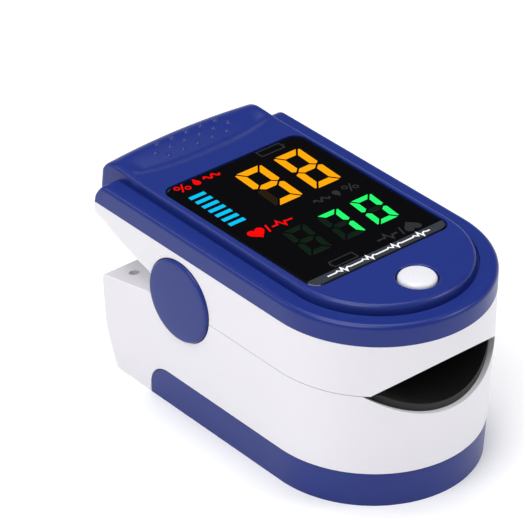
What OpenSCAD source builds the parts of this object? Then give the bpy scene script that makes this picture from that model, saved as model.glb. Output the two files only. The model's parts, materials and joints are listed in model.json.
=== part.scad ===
// Fingertip pulse oximeter: two spring-closed jaws on a cross pin, a display and one
// button in the upper jaw, two AAA cells under a sliding cover in the lower jaw.
// Millimetres, +Z up, finger opening at -Y, origin under the middle of the body.

/* [Body] */
// Width over the flat sides of the casings
body_w = 34; // [33.8:0.1:34.4]
// Length from the nose to the rear edge of the thumb ramp
body_l = 60.8; // [60.6:0.1:61.2]
// Height of the display plane above the table
top_z = 31.2; // [31.1:0.1:31.6]
// Wall thickness of the mouldings
wall = 1.4; // [1.3:0.1:1.5]
// Height of the joint line between the two jaws
joint_z = 18.6; // [18.5:0.1:18.7]
// Height of the lower edge of the blue top cover
skirt_z = 26.7; // [26.5:0.1:26.9]
// Height of the upper edge of the battery cover
band_z = 5.4; // [5.2:0.1:5.6]

/* [Hinge] */
// Distance of the hinge pin behind the middle of the body
hinge_y = 8; // [7.9:0.1:8.2]
// Height of the hinge pin
hinge_z = 19.3; // [19.2:0.1:19.4]
// Radius of the round caps over the hinge
cap_r = 6.3; // [6.1:0.1:6.4]
// Radius of the hinge pin
pin_r = 1; // [0.9:0.1:1.1]

/* [Finger opening] */
// Radius of the arch in the upper jaw
arch_r = 17.6; // [17.4:0.1:17.8]
// Height of the arch's crown
arch_z = 23; // [22.9:0.1:23.1]
// Radius of the trough in the lower jaw
trough_r = 20; // [19.8:0.1:20.4]
// Height of the trough's floor
trough_z = 14.3; // [14.2:0.1:14.4]
// Thickness of the rubber pads
pad_t = 1.2; // [1:0.1:1.3]

/* [Display] */
// Width of the display window
window_w = 25.5; // [25.1:0.1:25.7]
// Length of the display window
window_l = 32.8; // [32.4:0.1:33]
// Middle of the window, along the body
window_y = 1; // [0.8:0.1:1.2]
// Middle of the power button, along the body
button_y = -21.9; // [-22.1:0.1:-21.7]
// Radius of the power button
button_r = 2.75; // [2.5:0.05:2.8]

/* [Hidden] */
$fn = 96;
eps = 0.01;

side_x = body_w / 2;
front_y = -body_l / 2;
rear_y = body_l / 2;
nose_y = front_y + side_x;
joint_gap = 0.2;
ramp_x = 13.7;
wing_y = 27;

// Finger chamber: both arcs run along Y, their centres lie on the middle plane.
arch_c = arch_z - arch_r;
trough_c = trough_z + trough_r;
chamber_y = hinge_y - 5.5;
chamber_wall = 0.8;
cavity_y0 = chamber_y + chamber_wall;
cavity_y1 = hinge_y + 5.4;
optic_y = -11;

// Hinge layers, from the outside in: cap, lower ear, upper ear, spring.
cap_x0 = side_x - 1.55;
cap_x1 = side_x + 0.5;
lower_ear = [side_x - 3, side_x - 1.6];
upper_ear = [side_x - 4.7, side_x - 3.3];
ear_r = 4.6;
upper_ear_r = 4.4;

// Battery bay
cell_r = 5.25;
cell_x = 5.45;
cell_z = 6.65;
cell_l = 43.5;
nub_r = 1.9;
nub_l = 0.8;
cover_t = 1.2;
tray_roof_z = 12.6;
tray_x = 11.9;
tray_low_y = 21.9;
tray_rear_y = 23.3;
tray_step_z = 4.1;
lug_x = 15.1;
lug_z = 9.4;
bridge_y = 22.6;
spring_plate_y = -25.6;
nub_plate_y = -23.4;
plate_t = 0.3;

// Corner holes for a lanyard: one down from the sloped face, one in from the rear
lanyard_x = -14.1;
lanyard_y = 21.7;
lanyard_z = 12;
lanyard_r = 0.9;

// Upper jaw stack
deck_z = 25.3;
board_z = 26;
board_t = 1;
ledge_z = 29.9;
module_z0 = board_z + board_t + 0.1;
module_z1 = 30.1;
window_t = 0.9;
roof_t = 1.6;
dot_pitch = 2.7;
dot_y = 24.35;
screw_xy = [[12.8, -15.2], [-12.8, -15.2], [10.5, 20.8], [-10.5, 20.8]];
tray_screw_xy = [[13.6, -12], [-13.6, -12], [13.6, 9], [-13.6, 9]];

// ---------- shared shapes ----------

// Plan of the body: round nose at the front, straight sides to y1
module plan(inset, y1) {
    r = side_x - inset;
    translate([0, nose_y]) circle(r = r);
    translate([-r, nose_y]) square([2 * r, y1 - nose_y]);
}

// A prism of the body's plan between two heights
module body_prism(inset, y1, z0, z1) {
    translate([0, 0, z0]) linear_extrude(z1 - z0) plan(inset, y1);
}

// A side view, given as [y, z] points, extruded across the width w
module side_prism(points, w) {
    translate([-w / 2, 0, 0]) rotate([90, 0, 90]) linear_extrude(w) polygon(points);
}

// Cylinder along Y between y0 and y1
module rod_y(r, x, z, y0, y1) {
    translate([x, y0, z]) rotate([-90, 0, 0]) cylinder(r = r, h = y1 - y0);
}

// Cylinder along X between x0 and x1, at the hinge unless y and z are given
module rod_x(r, x0, x1, y = hinge_y, z = hinge_z) {
    translate([x0, y, z]) rotate([0, 90, 0]) cylinder(r = r, h = x1 - x0);
}

// Box between two corners
module span(lo, hi) {
    translate(lo) cube(hi - lo);
}

// The same child on both sides of the middle plane
module both_sides() {
    children();
    mirror([1, 0, 0]) children();
}

// Rounded rectangle plate, centred on y
module plate(w, l, r, y, z0, z1) {
    translate([0, y, z0]) linear_extrude(z1 - z0) {
        square([w - 2 * r, l], center = true);
        square([w, l - 2 * r], center = true);
        for (sx = [-1, 1], sy = [-1, 1])
            translate([sx * (w / 2 - r), sy * (l / 2 - r)]) circle(r = r);
    }
}

// Pan-head screw along Z, head at the bottom
module screw(x, y, z_head, z_tip, r = 0.8, head_r = 1.6, head_h = 1) {
    translate([x, y, z_head]) difference() {
        union() {
            cylinder(r = head_r, h = head_h);
            cylinder(r = r, h = z_tip - z_head);
        }
        for (turn = [0, 90])
            rotate([0, 0, turn]) translate([-1, -0.2, -eps]) cube([2, 0.4, 0.5]);
    }
}

// ---------- wire springs ----------

wire_sides = 8;

function unit(v) = v / norm(v);

// Direction of the path at point i
function heading(path, i) =
    unit(path[min(i + 1, len(path) - 1)] - path[max(i - 1, 0)]);

// Ring of points around point i, held square to the axis vector
function wire_ring(path, i, r, axis) =
    let (t = heading(path, i), n = unit(axis - (axis * t) * t), b = cross(t, n))
    [for (k = [0:wire_sides - 1])
        path[i] + r * (cos(360 * k / wire_sides) * n + sin(360 * k / wire_sides) * b)];

// Round wire of radius r swept along a path that winds about the axis vector
module wire(path, r, axis) {
    last = len(path) - 1;
    points = [for (i = [0:last]) each wire_ring(path, i, r, axis)];
    skin = [for (i = [0:last - 1], k = [0:wire_sides - 1])
        let (a = i * wire_sides, j = (k + 1) % wire_sides)
        [a + k, a + j, a + wire_sides + j, a + wire_sides + k]];
    caps = [
        [for (k = [wire_sides - 1:-1:0]) k],
        [for (k = [0:wire_sides - 1]) last * wire_sides + k]
    ];
    polyhedron(points = points, faces = concat(skin, caps), convexity = 6);
}

hinge_coil_r = 2.1;
hinge_wire_r = 0.35;
hinge_turns = 3;
hinge_pitch = 0.8;
leg_l = 5;

// Torsion spring: a straight leg to the rear at each end of the coil
function hinge_path(x) =
    let (steps = 20 * hinge_turns, half = hinge_pitch * (hinge_turns + 0.5) / 2)
    concat(
        [[x - half, hinge_y + leg_l, hinge_z - hinge_coil_r]],
        [for (i = [0:steps + 10])
            let (a = -90 - 360 * i / 20)
            [x - half + hinge_pitch * i / 20,
             hinge_y + hinge_coil_r * cos(a), hinge_z + hinge_coil_r * sin(a)]],
        [[x + half, hinge_y + leg_l, hinge_z + hinge_coil_r]]
    );

// Conical contact spring along Y, wide end at y0
function contact_path(x, y0, y1, turns) =
    [for (i = [0:14 * turns])
        let (f = i / (14 * turns), a = 360 * i / 14, r = 2.3 - 0.9 * f)
        [x + r * cos(a), y0 + (y1 - y0) * f, cell_z + r * sin(a)]];

// ---------- lower jaw ----------

// Side view of the lower casing: open under the battery cover, sloped behind the hinge
lower_side = [
    [front_y - 1, band_z + joint_gap], [12.4, band_z + joint_gap],
    [14.3, band_z - 0.7], [15.2, 2.6], [15.2, 0], [21.4, 0], [23.2, 0.9], [24.2, 3],
    [24.9, 6.2], [25.3, 10], [25.4, 14], [24.4, 15.2], [15.4, 17.2],
    [hinge_y + 5.2, 17.4], [hinge_y + 4.4, joint_z - joint_gap / 2],
    [front_y - 1, joint_z - joint_gap / 2]
];

module lower_casing() color("white") difference() {
    union() {
        difference() {
            intersection() {
                body_prism(0, 26, 0, joint_z);
                side_prism(lower_side, body_w + 2);
            }
            // Room for the battery tray, open downwards in front of the rear floor
            body_prism(wall, 15.2, -1, cover_t + 0.1);
            body_prism(wall, tray_low_y + 0.1, cover_t, tray_step_z);
            body_prism(wall, tray_rear_y + 0.1, tray_step_z - eps, tray_roof_z + 0.1);
            both_sides() span([13.4, -16, 12], [side_x - wall, 1, 17.2]);
            span([-12.5, 15.4, 12], [12.5, 22.9, 14]);
            // Trough for the finger, and the well behind it for pin and springs
            rod_y(trough_r, 0, trough_c, front_y - 1, chamber_y);
            span([-lower_ear[0] + 0.1, cavity_y0, 13.5], [lower_ear[0] - 0.1, cavity_y1, 20]);
            // Round seats of the hinge caps
            both_sides() rod_x(cap_r + 0.15, lower_ear[1], side_x + 1);
        }
        both_sides() lower_ear_plate();
        both_sides() cover_rail();
        // Screw posts over the tray
        for (p = tray_screw_xy)
            translate([p[0], p[1], lug_z + 1.1]) cylinder(r = 1.7, h = 2.5);
        // Bar that the lanyard is looped around
        span([-15.8, 19.6, 10], [-12.4, 23.8, 14]);
    }
    // Pocket for the sensor board and the way out for its ribbon
    span([-4.7, -15.4, 13.2], [4.7, 2, 15]);
    span([-4.4, 1, 13.2], [4.4, cavity_y0 + 1, 14.4]);
    // Screw pilot holes
    for (p = tray_screw_xy)
        translate([p[0], p[1], lug_z]) cylinder(r = 0.7, h = 3.2);
    // Lanyard holes, down from the sloped face and in from the rear wall
    translate([lanyard_x, lanyard_y, lanyard_z - lanyard_r]) cylinder(r = lanyard_r, h = 9);
    rod_y(lanyard_r, lanyard_x, lanyard_z, lanyard_y, 27);
    both_sides() rod_x(pin_r, lower_ear[0] - 1, lower_ear[1] + 1);
}

// Ear that carries one end of the hinge pin
module lower_ear_plate() {
    w = lower_ear[1] - lower_ear[0];
    rod_x(ear_r, lower_ear[0], lower_ear[1]);
    translate([lower_ear[0], hinge_y - ear_r, 12.7]) cube([w, 2 * ear_r, 6]);
}

// Rail that the battery cover hangs on
module cover_rail() {
    span([13, -8, 2.2], [14.7, 14.6, 3.1]);
    span([13, -8, 3], [13.6, 14.6, 8]);
    span([13, -8, 7], [side_x - wall + eps, 14.6, 8]);
}

module battery_tray() color("whitesmoke") difference() {
    intersection() {
        union() {
            body_prism(wall + 0.2, tray_low_y, cover_t + 0.5, tray_step_z);
            body_prism(wall + 0.2, tray_rear_y, tray_step_z - eps, tray_roof_z);
        }
        union() {
            span([-tray_x, front_y, 0], [tray_x, 24, tray_roof_z]);
            for (y = [tray_screw_xy[0][1], tray_screw_xy[2][1]])
                span([-lug_x, y - 2, lug_z], [lug_x, y + 2, lug_z + 1]);
        }
    }
    // Bay for the two cells
    intersection() {
        body_prism(wall + 1.1, 22.9, -1, tray_roof_z - 0.6);
        span([-10.95, front_y, -1], [10.95, 23, tray_roof_z]);
    }
    for (p = tray_screw_xy)
        translate([p[0], p[1], lug_z - 1]) cylinder(r = 0.9, h = 3);
}

// AAA cell between y0 and y0 + cell_l, with its nub on side dir
module cell(x, y0, dir) {
    rod_y(cell_r, x, cell_z, y0, y0 + cell_l);
    nub_y = dir > 0 ? y0 + cell_l - eps : y0 - nub_l;
    rod_y(nub_r, x, cell_z, nub_y, nub_y + nub_l + eps);
}

left_cell_y = bridge_y - nub_l - cell_l;
right_cell_y = nub_plate_y + plate_t + nub_l;

module battery_left() color("darkolivegreen") cell(-cell_x, left_cell_y, 1);

module battery_right() color("darkolivegreen") cell(cell_x, right_cell_y, -1);

module battery_spring_front() color("silver")
    wire(contact_path(-cell_x, spring_plate_y + plate_t + 0.3, left_cell_y - 0.3, 4), 0.3, [0, 1, 0]);

module battery_spring_rear() color("silver")
    wire(contact_path(cell_x, bridge_y - 0.25, right_cell_y + cell_l + 0.25, 2), 0.22, [0, -1, 0]);

module front_contacts() color("silver") {
    span([-7.4, spring_plate_y, 3.4], [-3, spring_plate_y + plate_t, 10]);
    span([2, nub_plate_y, 3.4], [8.6, nub_plate_y + plate_t, 10]);
}

module rear_contact_bridge() color("silver")
    span([-8.8, bridge_y, tray_step_z + 0.2], [8.8, bridge_y + plate_t - 0.05, 10]);

module tray_screws() color("silver")
    for (p = tray_screw_xy)
        screw(p[0], p[1], lug_z - 1, lug_z + 2.9, 0.68, 1.3);

module lower_finger_pad() color("black") difference() {
    intersection() {
        body_prism(0.9, chamber_y, 10, joint_z - joint_gap / 2 - 0.1);
        rod_y(trough_r - 0.05, 0, trough_c, front_y, chamber_y);
    }
    rod_y(trough_r - pad_t, 0, trough_c, front_y - 1, chamber_y - 0.9);
    translate([0, optic_y, 10]) cylinder(r = 3, h = 9);
}

module sensor_board() color("darkgreen")
    span([-4.5, -15.2, 13.25], [4.5, 1.8, 13.85]);

module photodiode() color("dimgray")
    span([-2, optic_y - 2, 13.85], [2, optic_y + 2, 14.85]);

module sensor_window() color("maroon")
    translate([0, optic_y, 14.9]) cylinder(r = 2.95, h = 0.55);

module hinge_pin() color("silver")
    rod_x(pin_r - 0.02, -lower_ear[1] - 0.05, lower_ear[1] + 0.05);

module hinge_cap() difference() {
    rod_x(cap_r, cap_x0, cap_x1);
    rod_x(pin_r + 0.3, cap_x0 - 1, cap_x0 + 0.6);
}

module hinge_cap_left() color("navy") mirror([1, 0, 0]) hinge_cap();

module hinge_cap_right() color("navy") hinge_cap();

module hinge_spring_left() color("silver")
    wire(hinge_path(-10.4), hinge_wire_r, [1, 0, 0]);

module hinge_spring_right() color("silver")
    wire(hinge_path(10.4), hinge_wire_r, [1, 0, 0]);

// Flat ribbon: along under the pad, behind the pin, up to the main board
module ribbon_cable() color("orange") {
    bend_r = 2;
    ribbon_t = 0.2;
    ribbon_w = 8;
    turn_y = hinge_y + 1.7;
    span([-ribbon_w / 2, -1, 13.9], [ribbon_w / 2, turn_y, 13.9 + ribbon_t]);
    translate([-ribbon_w / 2, turn_y, 13.9 + bend_r]) rotate([90, 0, 90]) linear_extrude(ribbon_w)
        intersection() {
            difference() {
                circle(r = bend_r);
                circle(r = bend_r - ribbon_t);
            }
            translate([0, -bend_r]) square(bend_r);
        }
    span([-ribbon_w / 2, turn_y + bend_r - ribbon_t, 13.9 + bend_r],
         [ribbon_w / 2, turn_y + bend_r, board_z - 0.9]);
}

// ---------- battery cover ----------

// Side view of the cover: floor and band, rounded off at the rear
cover_side = [
    [front_y - 1, 0], [15, 0], [15, 2.4], [14.1, band_z - 0.9], [12.2, band_z],
    [front_y - 1, band_z]
];

module battery_cover() color("navy") difference() {
    union() {
        difference() {
            intersection() {
                body_prism(0, 15, 0, band_z);
                side_prism(cover_side, body_w + 2);
            }
            body_prism(wall, 16, cover_t, band_z + 1);
        }
        // Ribs that ride on the casing's rails
        both_sides() span([14, -7, 3.35], [side_x - wall + eps, 13.6, 4.3]);
    }
    // Finger grooves across the underside
    for (i = [0:4])
        rod_x(0.5, -6, 6, -21 + 1.8 * i, -0.15);
}

// ---------- upper jaw ----------

// Side view of the upper casing: level in front of the hinge, rising behind it
upper_side = [
    [front_y - 1, joint_z + joint_gap / 2], [hinge_y, joint_z + joint_gap / 2],
    [14.9, 21], [17.5, 21.7], [21.7, 23.1], [25, 24.5], [28.6, 25.7], [29.2, 26.2],
    [29.2, skirt_z - 0.05], [front_y - 1, skirt_z - 0.05]
];

module upper_casing() color("white") difference() {
    union() {
        difference() {
            intersection() {
                union() {
                    body_prism(0, wing_y, joint_z, skirt_z);
                    span([-ramp_x + 0.3, 10, joint_z], [ramp_x - 0.3, rear_y, skirt_z]);
                }
                side_prism(upper_side, body_w + 2);
            }
            // Tub for the electronics, open upwards
            body_prism(wall, 24.4, deck_z, skirt_z + 1);
            both_sides() span([12.7, -9, 22], [side_x - wall, 1, skirt_z]);
            // Arch for the finger, wider behind the front wall to seat the pad
            rod_y(arch_r, 0, arch_c, front_y - 1, chamber_y);
            intersection() {
                rod_y(arch_r + pad_t - 0.1, 0, arch_c, front_y, chamber_y);
                body_prism(wall, chamber_y, joint_z, skirt_z);
            }
            // Space around the pin, the springs and the lower ears
            span([-side_x + wall, cavity_y0, joint_z - 1], [side_x - wall, cavity_y1, 24.2]);
            both_sides() rod_x(cap_r + 0.15, lower_ear[1] - 0.2, side_x + 1);
        }
        both_sides() upper_ear_plate();
        // Posts under the main board
        for (p = [[8, -20], [-8, -20], [11, 16], [-11, 16]])
            translate([p[0], p[1], deck_z - eps]) cylinder(r = 1.2, h = board_z - deck_z);
    }
    // Screw holes with sunk heads
    for (p = screw_xy) {
        translate([p[0], p[1], 18]) cylinder(r = 1.8, h = head_seat(p) - 18);
        translate([p[0], p[1], 20]) cylinder(r = 0.9, h = 10);
    }
    // Openings for the light emitter and the ribbon
    span([-2.3, optic_y - 1.8, 23], [2.3, optic_y + 1.8, deck_z + 1]);
    span([-5.1, cavity_y0 + 4, 24], [5.1, cavity_y1 - 0.2, deck_z + 1]);
    both_sides() rod_x(pin_r + 0.05, upper_ear[0] - 1, upper_ear[1] + 1);
}

// Height where a casing screw's head stops
function head_seat(p) = p[1] > 0 ? 24 : 22.6;

// Ear that turns on the hinge pin
module upper_ear_plate() {
    w = upper_ear[1] - upper_ear[0];
    rod_x(upper_ear_r, upper_ear[0], upper_ear[1]);
    translate([upper_ear[0], hinge_y - upper_ear_r, hinge_z]) cube([w, 2 * upper_ear_r, 24.3 - hinge_z]);
}

module casing_screws() color("silver")
    for (p = screw_xy)
        screw(p[0], p[1], head_seat(p) - 1, 28.2, 0.75, 1.6);

// Side view of the raised middle: display deck, shallow thumb dish, rounded rear edge
raised_side = [
    [front_y - 1, ledge_z - 1], [front_y - 1, top_z], [20.4, top_z], [21.5, top_z - 0.1],
    [27.4, top_z + 0.75], [28.4, top_z + 0.35], [29.3, top_z - 0.5], [rear_y - 0.4, top_z - 1.7],
    [rear_y, top_z - 3.2], [rear_y, skirt_z], [wing_y - 4, skirt_z], [wing_y - 4, ledge_z - 1]
];

module top_cover() color("navy") difference() {
    union() {
        difference() {
            union() {
                // Skirt and ledge, their rear corners rounded
                intersection() {
                    body_prism(0, wing_y, skirt_z, ledge_z);
                    side_prism([[front_y - 1, skirt_z], [26.9, skirt_z], [26.7, ledge_z - 2],
                                [26.1, ledge_z - 0.9], [25.3, ledge_z - 0.2], [24.6, ledge_z],
                                [front_y - 1, ledge_z]], body_w + 2);
                }
                // Raised deck and thumb ramp
                intersection() {
                    union() {
                        body_prism(side_x - 14.1, 24, skirt_z, top_z + 2);
                        span([-ramp_x, 0, skirt_z], [ramp_x, rear_y, top_z + 2]);
                    }
                    side_prism(raised_side, body_w);
                }
            }
            // Hollow inside: under the ledge, under the deck, and under the ramp
            body_prism(wall, 25.2, skirt_z - 1, ledge_z - wall);
            body_prism(side_x - 12.7, 23, skirt_z - 1, top_z - roof_t);
            span([-ramp_x + wall, 22, skirt_z - 1], [ramp_x - wall, rear_y - wall, ledge_z - 0.2]);
        }
        // Screw bosses
        for (p = screw_xy)
            translate([p[0], p[1], board_z + 1.4]) cylinder(r = 1.7, h = 2.4);
        // Grip dots in the thumb dish, in three staggered rows
        for (row = [0:2], col = [0:4 + row % 2])
            translate([dot_pitch * (col - 2 - (row % 2) / 2), dot_y + dot_pitch / 2 * row,
                       top_z + 0.07 + 0.177 * row])
                cylinder(r = 0.4, h = 0.32);
    }
    for (p = screw_xy)
        translate([p[0], p[1], board_z]) cylinder(r = 0.8, h = 2.6);
    // Window recess with a shelf, and the button's hole
    plate(window_w + 0.1, window_l + 0.1, 2, window_y, top_z - window_t, top_z + 1);
    plate(window_w - 1.2, window_l - 1, 0.3, window_y, top_z - 3, top_z);
    translate([0, button_y, top_z - 3]) cylinder(r = button_r + 0.25, h = 4);
}

module upper_finger_pad() color("black") difference() {
    intersection() {
        body_prism(wall + 0.1, chamber_y, joint_z + joint_gap / 2 + 0.1, 25);
        rod_y(arch_r + pad_t - 0.15, 0, arch_c, front_y, chamber_y);
    }
    rod_y(arch_r - 0.1, 0, arch_c, front_y - 1, chamber_y - 0.9);
    translate([0, optic_y, 20]) cylinder(r = 3, h = 9);
}

module emitter_window() color("maroon")
    translate([0, optic_y, 23]) cylinder(r = 2.95, h = 0.5);

module emitter_led() color("whitesmoke") {
    span([-2, optic_y - 1.5, 23.55], [2, optic_y + 1.5, 24.6]);
    for (x = [-1.4, 1.4])
        span([x - 0.25, optic_y - 0.25, 24.5], [x + 0.25, optic_y + 0.25, board_z]);
}

module main_board() color("darkgreen") difference() {
    body_prism(side_x - 13.9, 18, board_z, board_z + board_t);
    for (p = screw_xy)
        translate([p[0], p[1], board_z - 1]) cylinder(r = 2.1, h = 3);
}

module ribbon_socket() color("ivory") difference() {
    span([-4.9, hinge_y + 2.6, board_z - 1.9], [4.9, hinge_y + 4.8, board_z]);
    span([-4.1, hinge_y + 3.4, board_z - 2], [4.1, hinge_y + 3.8, board_z - 0.8]);
}

module processor_chip() color("black")
    span([-3.5, -3, board_z - 0.65], [3.5, 4, board_z]);

module power_inductor() color("dimgray")
    translate([8, -9, board_z - 0.65]) cylinder(r = 2.2, h = 0.65);

module switch_body() color("gray") difference() {
    span([-2.2, button_y - 2.2, board_z + board_t], [2.2, button_y + 2.2, board_z + board_t + 1.2]);
    translate([0, button_y, board_z + board_t + 0.3]) cylinder(r = 1, h = 2);
}

module switch_plunger() color("black")
    translate([0, button_y, board_z + board_t + 0.7]) cylinder(r = 0.95, h = 1);

module power_button() color("white") translate([0, button_y, 0]) {
    stem_z = board_z + board_t + 1.7;
    translate([0, 0, stem_z]) cylinder(r = 1.2, h = 1);
    translate([0, 0, stem_z + 0.2]) cylinder(r = button_r + 0.6, h = 0.45);
    translate([0, 0, stem_z + 0.3]) cylinder(r = button_r, h = top_z + 0.3 - stem_z - 0.3);
}

module display_module() color("black")
    span([-12, window_y - 15.75, module_z0], [12, window_y + 15.75, module_z1]);

module display_window() color("black") difference() {
    plate(window_w, window_l, 2, window_y, top_z - window_t, top_z);
    translate([-strip_x - 0.02, strip_y0 - 0.02, top_z - strip_t])
        cube([2 * strip_x + 0.04, strip_y1 - strip_y0 + 0.04, 1]);
}

// Printed grey strip across the front of the window
strip_x = 12;
strip_y0 = -15.2;
strip_y1 = -13.4;
strip_t = 0.1;

module legend_strip() color("dimgray")
    span([-strip_x, strip_y0, top_z - strip_t], [strip_x, strip_y1, top_z - 0.02]);

// ---------- display segments ----------

segment_t = 0.12;

// Which of the seven bars a..g are lit for each digit
lit = [
    [1, 1, 1, 1, 1, 1, 0], [0, 1, 1, 0, 0, 0, 0], [1, 1, 0, 1, 1, 0, 1], [1, 1, 1, 1, 0, 0, 1],
    [0, 1, 1, 0, 0, 1, 1], [1, 0, 1, 1, 0, 1, 1], [1, 0, 1, 1, 1, 1, 1], [1, 1, 1, 0, 0, 0, 0],
    [1, 1, 1, 1, 1, 1, 1], [1, 1, 1, 1, 0, 1, 1]
];

// One bar with pointed ends, of length l and thickness t, lying along X
module bar(l, t) {
    polygon([[-l / 2, 0], [-l / 2 + t / 2, t / 2], [l / 2 - t / 2, t / 2],
             [l / 2, 0], [l / 2 - t / 2, -t / 2], [-l / 2 + t / 2, -t / 2]]);
}

// Seven-bar figure n, w wide and h high over the middles of its bars
module figure(n, w, h, t) {
    cut = 0.25;
    at = [[0, h / 2], [w / 2, h / 4], [w / 2, -h / 4], [0, -h / 2],
          [-w / 2, -h / 4], [-w / 2, h / 4], [0, 0]];
    for (i = [0:6])
        if (lit[n][i] == 1)
            translate(at[i]) rotate([0, 0, i % 3 == 0 ? 0 : 90])
                bar((i % 3 == 0 ? w : h / 2) - cut, t);
}

module figures(digits, x0, pitch, y, w, h, t)
    translate([0, 0, module_z1]) linear_extrude(segment_t)
        for (i = [0:len(digits) - 1])
            translate([x0 + pitch * i, y]) figure(digits[i], w, h, t);

module oxygen_digits() color("orange") figures([9, 8], -0.2, 7.1, 8.9, 4, 8.9, 1.4);

module pulse_digits() color("lime") figures([7, 0], 0.95, 6.25, -5.3, 3.6, 6.1, 1.05);

module level_bars() color("deepskyblue")
    translate([0, 0, module_z1]) linear_extrude(segment_t)
        for (i = [0:6])
            translate([-10.95, 3.95 + 1.46 * i]) square([2.8, 0.82]);

// Drop beside the oxygen figures, heart beside the pulse figures
module display_icons() color("red")
    translate([0, 0, module_z1]) linear_extrude(segment_t) {
        translate([-9.5, 0]) rotate([0, 0, 45]) {
            square(1.4, center = true);
            translate([0, 0.7]) circle(r = 0.7);
            translate([0.7, 0]) circle(r = 0.7);
        }
        translate([-9.4, 15.7]) {
            circle(r = 0.55);
            polygon([[-0.5, 0.2], [0, 1], [0.5, 0.2]]);
        }
    }

lower_casing();
battery_tray();
lower_finger_pad();
sensor_board();
photodiode();
sensor_window();
battery_left();
battery_right();
battery_spring_front();
battery_spring_rear();
front_contacts();
rear_contact_bridge();
tray_screws();
hinge_pin();
hinge_cap_left();
hinge_cap_right();
hinge_spring_left();
hinge_spring_right();
ribbon_cable();
battery_cover();
upper_casing();
top_cover();
upper_finger_pad();
emitter_led();
emitter_window();
main_board();
ribbon_socket();
processor_chip();
power_inductor();
switch_body();
display_module();
oxygen_digits();
pulse_digits();
level_bars();
display_icons();
display_window();
legend_strip();
casing_screws();
power_button();
switch_plunger();
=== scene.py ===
"""Looks of a fingertip pulse oximeter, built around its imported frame.

Lengths are metres in the frame's axes: +Z up, the finger opening at -Y.
"""

import json
import math

import bpy
from mathutils import Matrix, Vector


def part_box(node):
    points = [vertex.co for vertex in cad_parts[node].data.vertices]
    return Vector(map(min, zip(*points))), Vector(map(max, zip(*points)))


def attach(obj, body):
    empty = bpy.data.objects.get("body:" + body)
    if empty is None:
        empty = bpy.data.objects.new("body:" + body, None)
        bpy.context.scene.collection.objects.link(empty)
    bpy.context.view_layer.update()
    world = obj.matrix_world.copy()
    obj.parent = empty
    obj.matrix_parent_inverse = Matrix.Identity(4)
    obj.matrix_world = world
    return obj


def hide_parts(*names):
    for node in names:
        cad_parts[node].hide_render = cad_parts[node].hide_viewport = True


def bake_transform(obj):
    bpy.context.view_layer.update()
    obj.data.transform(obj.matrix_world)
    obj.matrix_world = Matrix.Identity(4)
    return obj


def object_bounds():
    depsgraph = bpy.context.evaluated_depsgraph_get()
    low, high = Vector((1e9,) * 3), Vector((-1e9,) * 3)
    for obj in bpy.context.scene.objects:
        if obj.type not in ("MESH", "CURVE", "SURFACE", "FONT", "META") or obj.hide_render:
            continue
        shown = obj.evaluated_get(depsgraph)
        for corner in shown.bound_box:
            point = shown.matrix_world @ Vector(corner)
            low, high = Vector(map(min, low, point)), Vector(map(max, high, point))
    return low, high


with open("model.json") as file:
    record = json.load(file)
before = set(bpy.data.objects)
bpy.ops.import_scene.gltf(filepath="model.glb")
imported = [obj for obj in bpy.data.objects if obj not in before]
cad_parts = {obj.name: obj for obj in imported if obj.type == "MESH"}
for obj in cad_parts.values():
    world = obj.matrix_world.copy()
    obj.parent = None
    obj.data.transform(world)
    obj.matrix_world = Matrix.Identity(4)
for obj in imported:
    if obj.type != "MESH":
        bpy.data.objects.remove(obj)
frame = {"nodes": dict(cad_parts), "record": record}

bl_info = {
    "name": "Fingertip Pulse Oximeter",
    "version": (1, 0, 0),
    "blender": (4, 5, 0),
    "location": "View3D > Sidebar > Oximeter",
    "description": "Models the shells, pads, display and hinge of a fingertip pulse oximeter",
    "category": "Add Mesh",
}

MM = 0.001
CAD_LOW, CAD_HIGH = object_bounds()

# Driving places, read from the frame
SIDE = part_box("lower_casing")[1].x
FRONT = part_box("lower_casing")[0].y
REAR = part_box("top_cover")[1].y
NOSE = FRONT + SIDE
CAP_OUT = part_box("hinge_cap_right")[1].x
JOINTS = {joint["name"]: joint for joint in frame["record"]["behaviour"]["joints"]}
HINGE = Vector(JOINTS["jaw_hinge"]["pos_m"])
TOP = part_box("display_window")[1].z
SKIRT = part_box("top_cover")[0].z
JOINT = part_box("lower_finger_pad")[1].z + 0.2 * MM
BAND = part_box("battery_cover")[1].z
WINDOW_LOW, WINDOW_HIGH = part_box("display_window")
WINDOW_MID = (WINDOW_LOW + WINDOW_HIGH) / 2
BUTTON_Y = (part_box("power_button")[0].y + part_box("power_button")[1].y) / 2
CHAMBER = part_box("lower_finger_pad")[1].y
OPTIC_Y = (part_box("sensor_window")[0].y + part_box("sensor_window")[1].y) / 2
LEDGE = 29.95 * MM
DECK_HALF = 14.1 * MM
DECK_REAR = 29.8 * MM
WALL = 1.4 * MM
GAP = 0.1 * MM


def mm(*values):
    """A place given in millimetres."""
    return tuple(value * MM for value in values)


# ---------- settings a user would change ----------


def linear(hex_colour):
    """Linear RGBA of an sRGB hex colour."""
    parts = [int(hex_colour[i : i + 2], 16) / 255 for i in (1, 3, 5)]
    return tuple(p / 12.92 if p <= 0.04045 else ((p + 0.055) / 1.055) ** 2.4 for p in parts) + (1.0,)


def colour_setting(name, description, hex_colour):
    return bpy.props.FloatVectorProperty(
        name=name, description=description, subtype="COLOR", size=4, min=0, max=1, default=linear(hex_colour)
    )


def length_setting(name, description, value):
    return bpy.props.FloatProperty(name=name, description=description, unit="LENGTH", min=0, default=value)


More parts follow.
